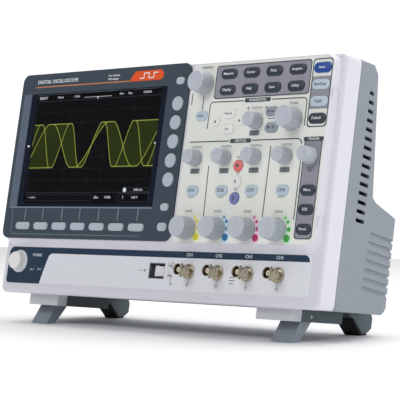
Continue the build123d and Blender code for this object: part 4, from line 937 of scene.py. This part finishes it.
for i in range(CHANNELS):
    ground_sign(BNC_X0 + BNC_PITCH * i, 14.8, 19.6)
ground_sign(29.0, 15.2, 21.4)
label_dark += [line([(x, 25.4), (x + 3.4, 25.4)], 0.5, LABEL_P) for x in (-11.0, -6.2)]
label_dark.append(patch(shifted(wedge * [-1, 1], -3.2, 25.4), LABEL_P))
label_dark += [line([(24.9, 33.6 - 2.4 * k), (24.9, 32.4 - 2.4 * k)], 0.3, LABEL_P) for k in range(6)]
square = [(27.4, 31.9), (28.6, 31.9), (28.6, 33.4), (30.0, 33.4), (30.0, 31.9), (31.2, 31.9)]
label_dark.append(line(square, 0.35, LABEL_P))
for k, width in enumerate((5.2, 6.4, 4.0)):
    z = 22.4 - 2.6 * k
    label_dark.append(line([(98.0 - width / 2, z), (98.0 + width / 2, z)], 0.8, LABEL_P))
piece("label_print_dark", label_dark, "ink_soft")

# memory-stick socket: moulded frame, shell with spring slots, white insert; black patches in the slots and over
# the shell's back are painted shade
USB = (11.0, 25.4)
frame_outer = shifted(rounded(26.0, 18.0, 1.2, 5), *USB)
frame_inner = shifted(rounded(19.0, 14.0, 0.3, 3), *USB)
piece("usb_surround", [print_area([frame_outer, frame_inner], LABEL_P, 0.35)], "label")
shell_outer, shell_inner = box_outline(1.5, 20.5, 18.4, 32.4), box_outline(2.3, 19.7, 19.2, 31.6)
insert = box_outline(8.3, 19.2, 20.8, 30.0, 0.4)
piece("usb_shell", [print_area([shell_outer, shell_inner], -15.5, 16.0),
                    print_area([shell_outer], -15.5, 0.8)], "tin", replaces=["usb_socket"])
piece("usb_insert", [print_area([insert], -14.6, 14.4)], "white_insert")
slot_shades = [box_outline(9.0, 12.4, 30.4, 31.5), box_outline(13.2, 19.0, 29.6, 31.3),
                box_outline(8.6, 12.0, 19.5, 20.6), box_outline(13.0, 18.2, 19.3, 20.9)]
# black patches in the gaps above and below the insert: painted shade
piece("usb_slot_shade", [print_area([slot], -0.15, 0.5) for slot in slot_shades], "hole_shade")
# black patch over the back of the shell, seen through the open slot: painted shade
piece("usb_back_shade", [patch(box_outline(2.3, 19.7, 19.2, 31.6), -14.7, 0.1)], "hole_shade")

# bayonet sockets: nut, neck, ringed barrel with a hollow mouth, two lugs and a cream core; inside the bore a
# darker copy of the nickel is painted shade
FLANGE_R, NECK_R, BARREL_R, BORE_R, BARREL_P = 6.4, 4.2, 4.85, 4.1, 14.8


def lug(x, z, side):
    """A round-ended peg standing sideways out of the barrel."""
    along = np.array([3.9, 5.5, 5.8, 5.85])
    radius = np.array([1.0, 1.0, 0.75, 0.4])
    turn = np.linspace(0, 2 * np.pi, 16, endpoint=False)
    rings = at(x + radius[:, None] * np.cos(turn), z + side * along[:, None] + 0 * turn,
               9.5 + radius[:, None] * np.sin(turn))
    return skin(rings, at(x, z + side * along[0], 9.5), at(x, z + side * along[-1], 9.5))


barrels, bore_shades, cores = [], [], []
for i in range(CHANNELS):
    x = BNC_X0 + BNC_PITCH * i
    nut = [(0.0, -6.0), (BARREL_R, -6.0), (BARREL_R, 0.05), (FLANGE_R, 0.05)]
    nut += bend((FLANGE_R - 0.4, 1.8), 0.4, 0, 90, 4)
    neck = [(NECK_R + 0.5, 2.2), (NECK_R, 2.4), (NECK_R, 4.4), (BARREL_R - 0.3, 4.6)]
    waist = BARREL_R - 0.25
    barrel = [(BARREL_R, 4.9), (BARREL_R, 7.6), (waist, 7.8), (waist, 11.4), (BARREL_R, 11.6)]
    mouth = bend((BARREL_R - 0.3, BARREL_P - 0.3), 0.3, 0, 90, 4)
    mouth += [(BORE_R + 0.1, BARREL_P), (BORE_R, BARREL_P - 0.2)]
    inside = [(BORE_R, 5.4), (0.0, 5.4)]
    barrels += [turned(x, BNC_Z, nut + neck + barrel + mouth + inside, 56), lug(x, BNC_Z, 1), lug(x, BNC_Z, -1)]
    outer, inner = BORE_R - 0.05, BORE_R - 0.12
    # a thin lining of the darker nickel inside the bore: painted shade
    shade_lining = [(2.5, 5.45), (outer, 5.45), (outer, 13.6), (inner, 13.6), (inner, 5.6), (2.5, 5.6), (2.5, 5.45)]
    bore_shades.append(turned(x, BNC_Z, shade_lining, 40))
    core = [(0.0, 5.5), (2.4, 5.5), (2.4, 12.9), (2.1, 13.2), (0.75, 13.3), (0.7, 13.0), (0.7, 8.0), (0.0, 8.0)]
    cores.append(turned(x, BNC_Z, core, 32))
piece("bayonet_barrels", barrels, "nickel", replaces=["input_sockets"], smooth=True)
piece("bayonet_bore_shade", bore_shades, "shaded_nickel", smooth=True)
piece("bayonet_cores", cores, "cream", replaces=["socket_cores"], smooth=True)

# --- Finishes of the pieces that keep their own shape ----------------------------------------
kept = {
    "front_case": "casing", "label_panel": "label", "display_bezel": "bezel", "display_glass": "glass",
    "display_module": "lcd", "encoders": "steel", "key_board": "board", "main_board": "board",
    "power_supply": "board", "chassis_plate": "sheet_metal", "rear_case": "rear", "fan_frame": "black",
    "fan_rotor": "black", "mains_inlet": "black", "rear_ports": "black", "foot_blocks": "foot_block",
    "foot_rails": "rail", "rubber_pads": "rubber", "leg_pins": "steel", "case_screws": "steel",
    "left_leg": "leg", "right_leg": "leg", "probe_terminals": "steel",
}
for node, material in kept.items():
    mesh = frame["nodes"][node].data
    mesh.materials.clear()
    mesh.materials.append(finish[material])
# --- Stage: floor, light and camera ---------------------------------------------------------
floor_mesh = bpy.data.meshes.new("floor")
floor_mesh.from_pydata([(-6, -6, 0), (6, -6, 0), (6, 1.5, 0), (-6, 1.5, 0)], [], [(0, 1, 2, 3)])
floor = bpy.data.objects.new("floor", floor_mesh)
bpy.context.scene.collection.objects.link(floor)
paper = plastic("floor_paper", (250, 250, 251), 0.99, 0.75, 0.02, cloud=2.0, bump=0.0, dust=0.0)
floor_mesh.materials.append(paper)


def area_light(name, place, target, width, height, power, colour=(1.0, 1.0, 1.0)):
    """A soft rectangular light looking at a point."""
    light = bpy.data.lights.new(name, "AREA")
    light.shape, light.size, light.size_y = "RECTANGLE", width, height
    light.energy, light.color = power, colour
    holder = bpy.data.objects.new(name, light)
    bpy.context.scene.collection.objects.link(holder)
    aim = np.array(target, float) - np.array(place, float)
    holder.location = place
    holder.rotation_mode = "QUATERNION"
    holder.rotation_quaternion = Vector(aim).to_track_quat("-Z", "Y")


area_light("front_softbox", (-0.2, -1.8, 1.6), (0, 0, 0.12), 1.2, 1.0, 17.0)
area_light("overhead_softbox", (0.1, 0.3, 1.7), (0, 0, 0.1), 1.6, 1.2, 14.0)
area_light("side_fill", (1.7, 0.2, 0.7), (0, 0, 0.12), 1.2, 1.0, 5.0)

world = bpy.data.worlds.new("studio")
bpy.context.scene.world = world
world.use_nodes = True
sky = world.node_tree
facing = sky.nodes.new("ShaderNodeSeparateXYZ")
wire(sky, sky.nodes.new("ShaderNodeTexCoord").outputs["Generated"], facing.inputs[0])
sweep = sky.nodes.new("ShaderNodeMapRange")  # a lit sweep behind the object, a dim room before it
sweep.interpolation_type = "SMOOTHSTEP"
for label, value in (("From Min", -0.35), ("From Max", 0.45), ("To Min", 0.2), ("To Max", 1.05)):
    sweep.inputs[label].default_value = value
wire(sky, facing.outputs["Y"], sweep.inputs["Value"])
wire(sky, sweep.outputs["Result"], sky.nodes["Background"].inputs["Strength"])
sky.nodes["Background"].inputs["Color"].default_value = (1.0, 1.0, 1.0, 1.0)
bpy.context.scene.view_settings.view_transform = "Standard"

CAMERA_PLACE = (0.97553, -1.04482, 0.11493)
CAMERA_YAW = 42.765
camera_data = bpy.data.cameras.new("camera")
camera_data.lens, camera_data.sensor_width = 144.0, 36.0
camera_data.clip_start, camera_data.clip_end = 0.05, 50.0
camera = bpy.data.objects.new("camera", camera_data)
bpy.context.scene.collection.objects.link(camera)
camera.location = CAMERA_PLACE
camera.rotation_euler = (math.radians(90), 0.0, math.radians(CAMERA_YAW))
bpy.context.scene.camera = camera
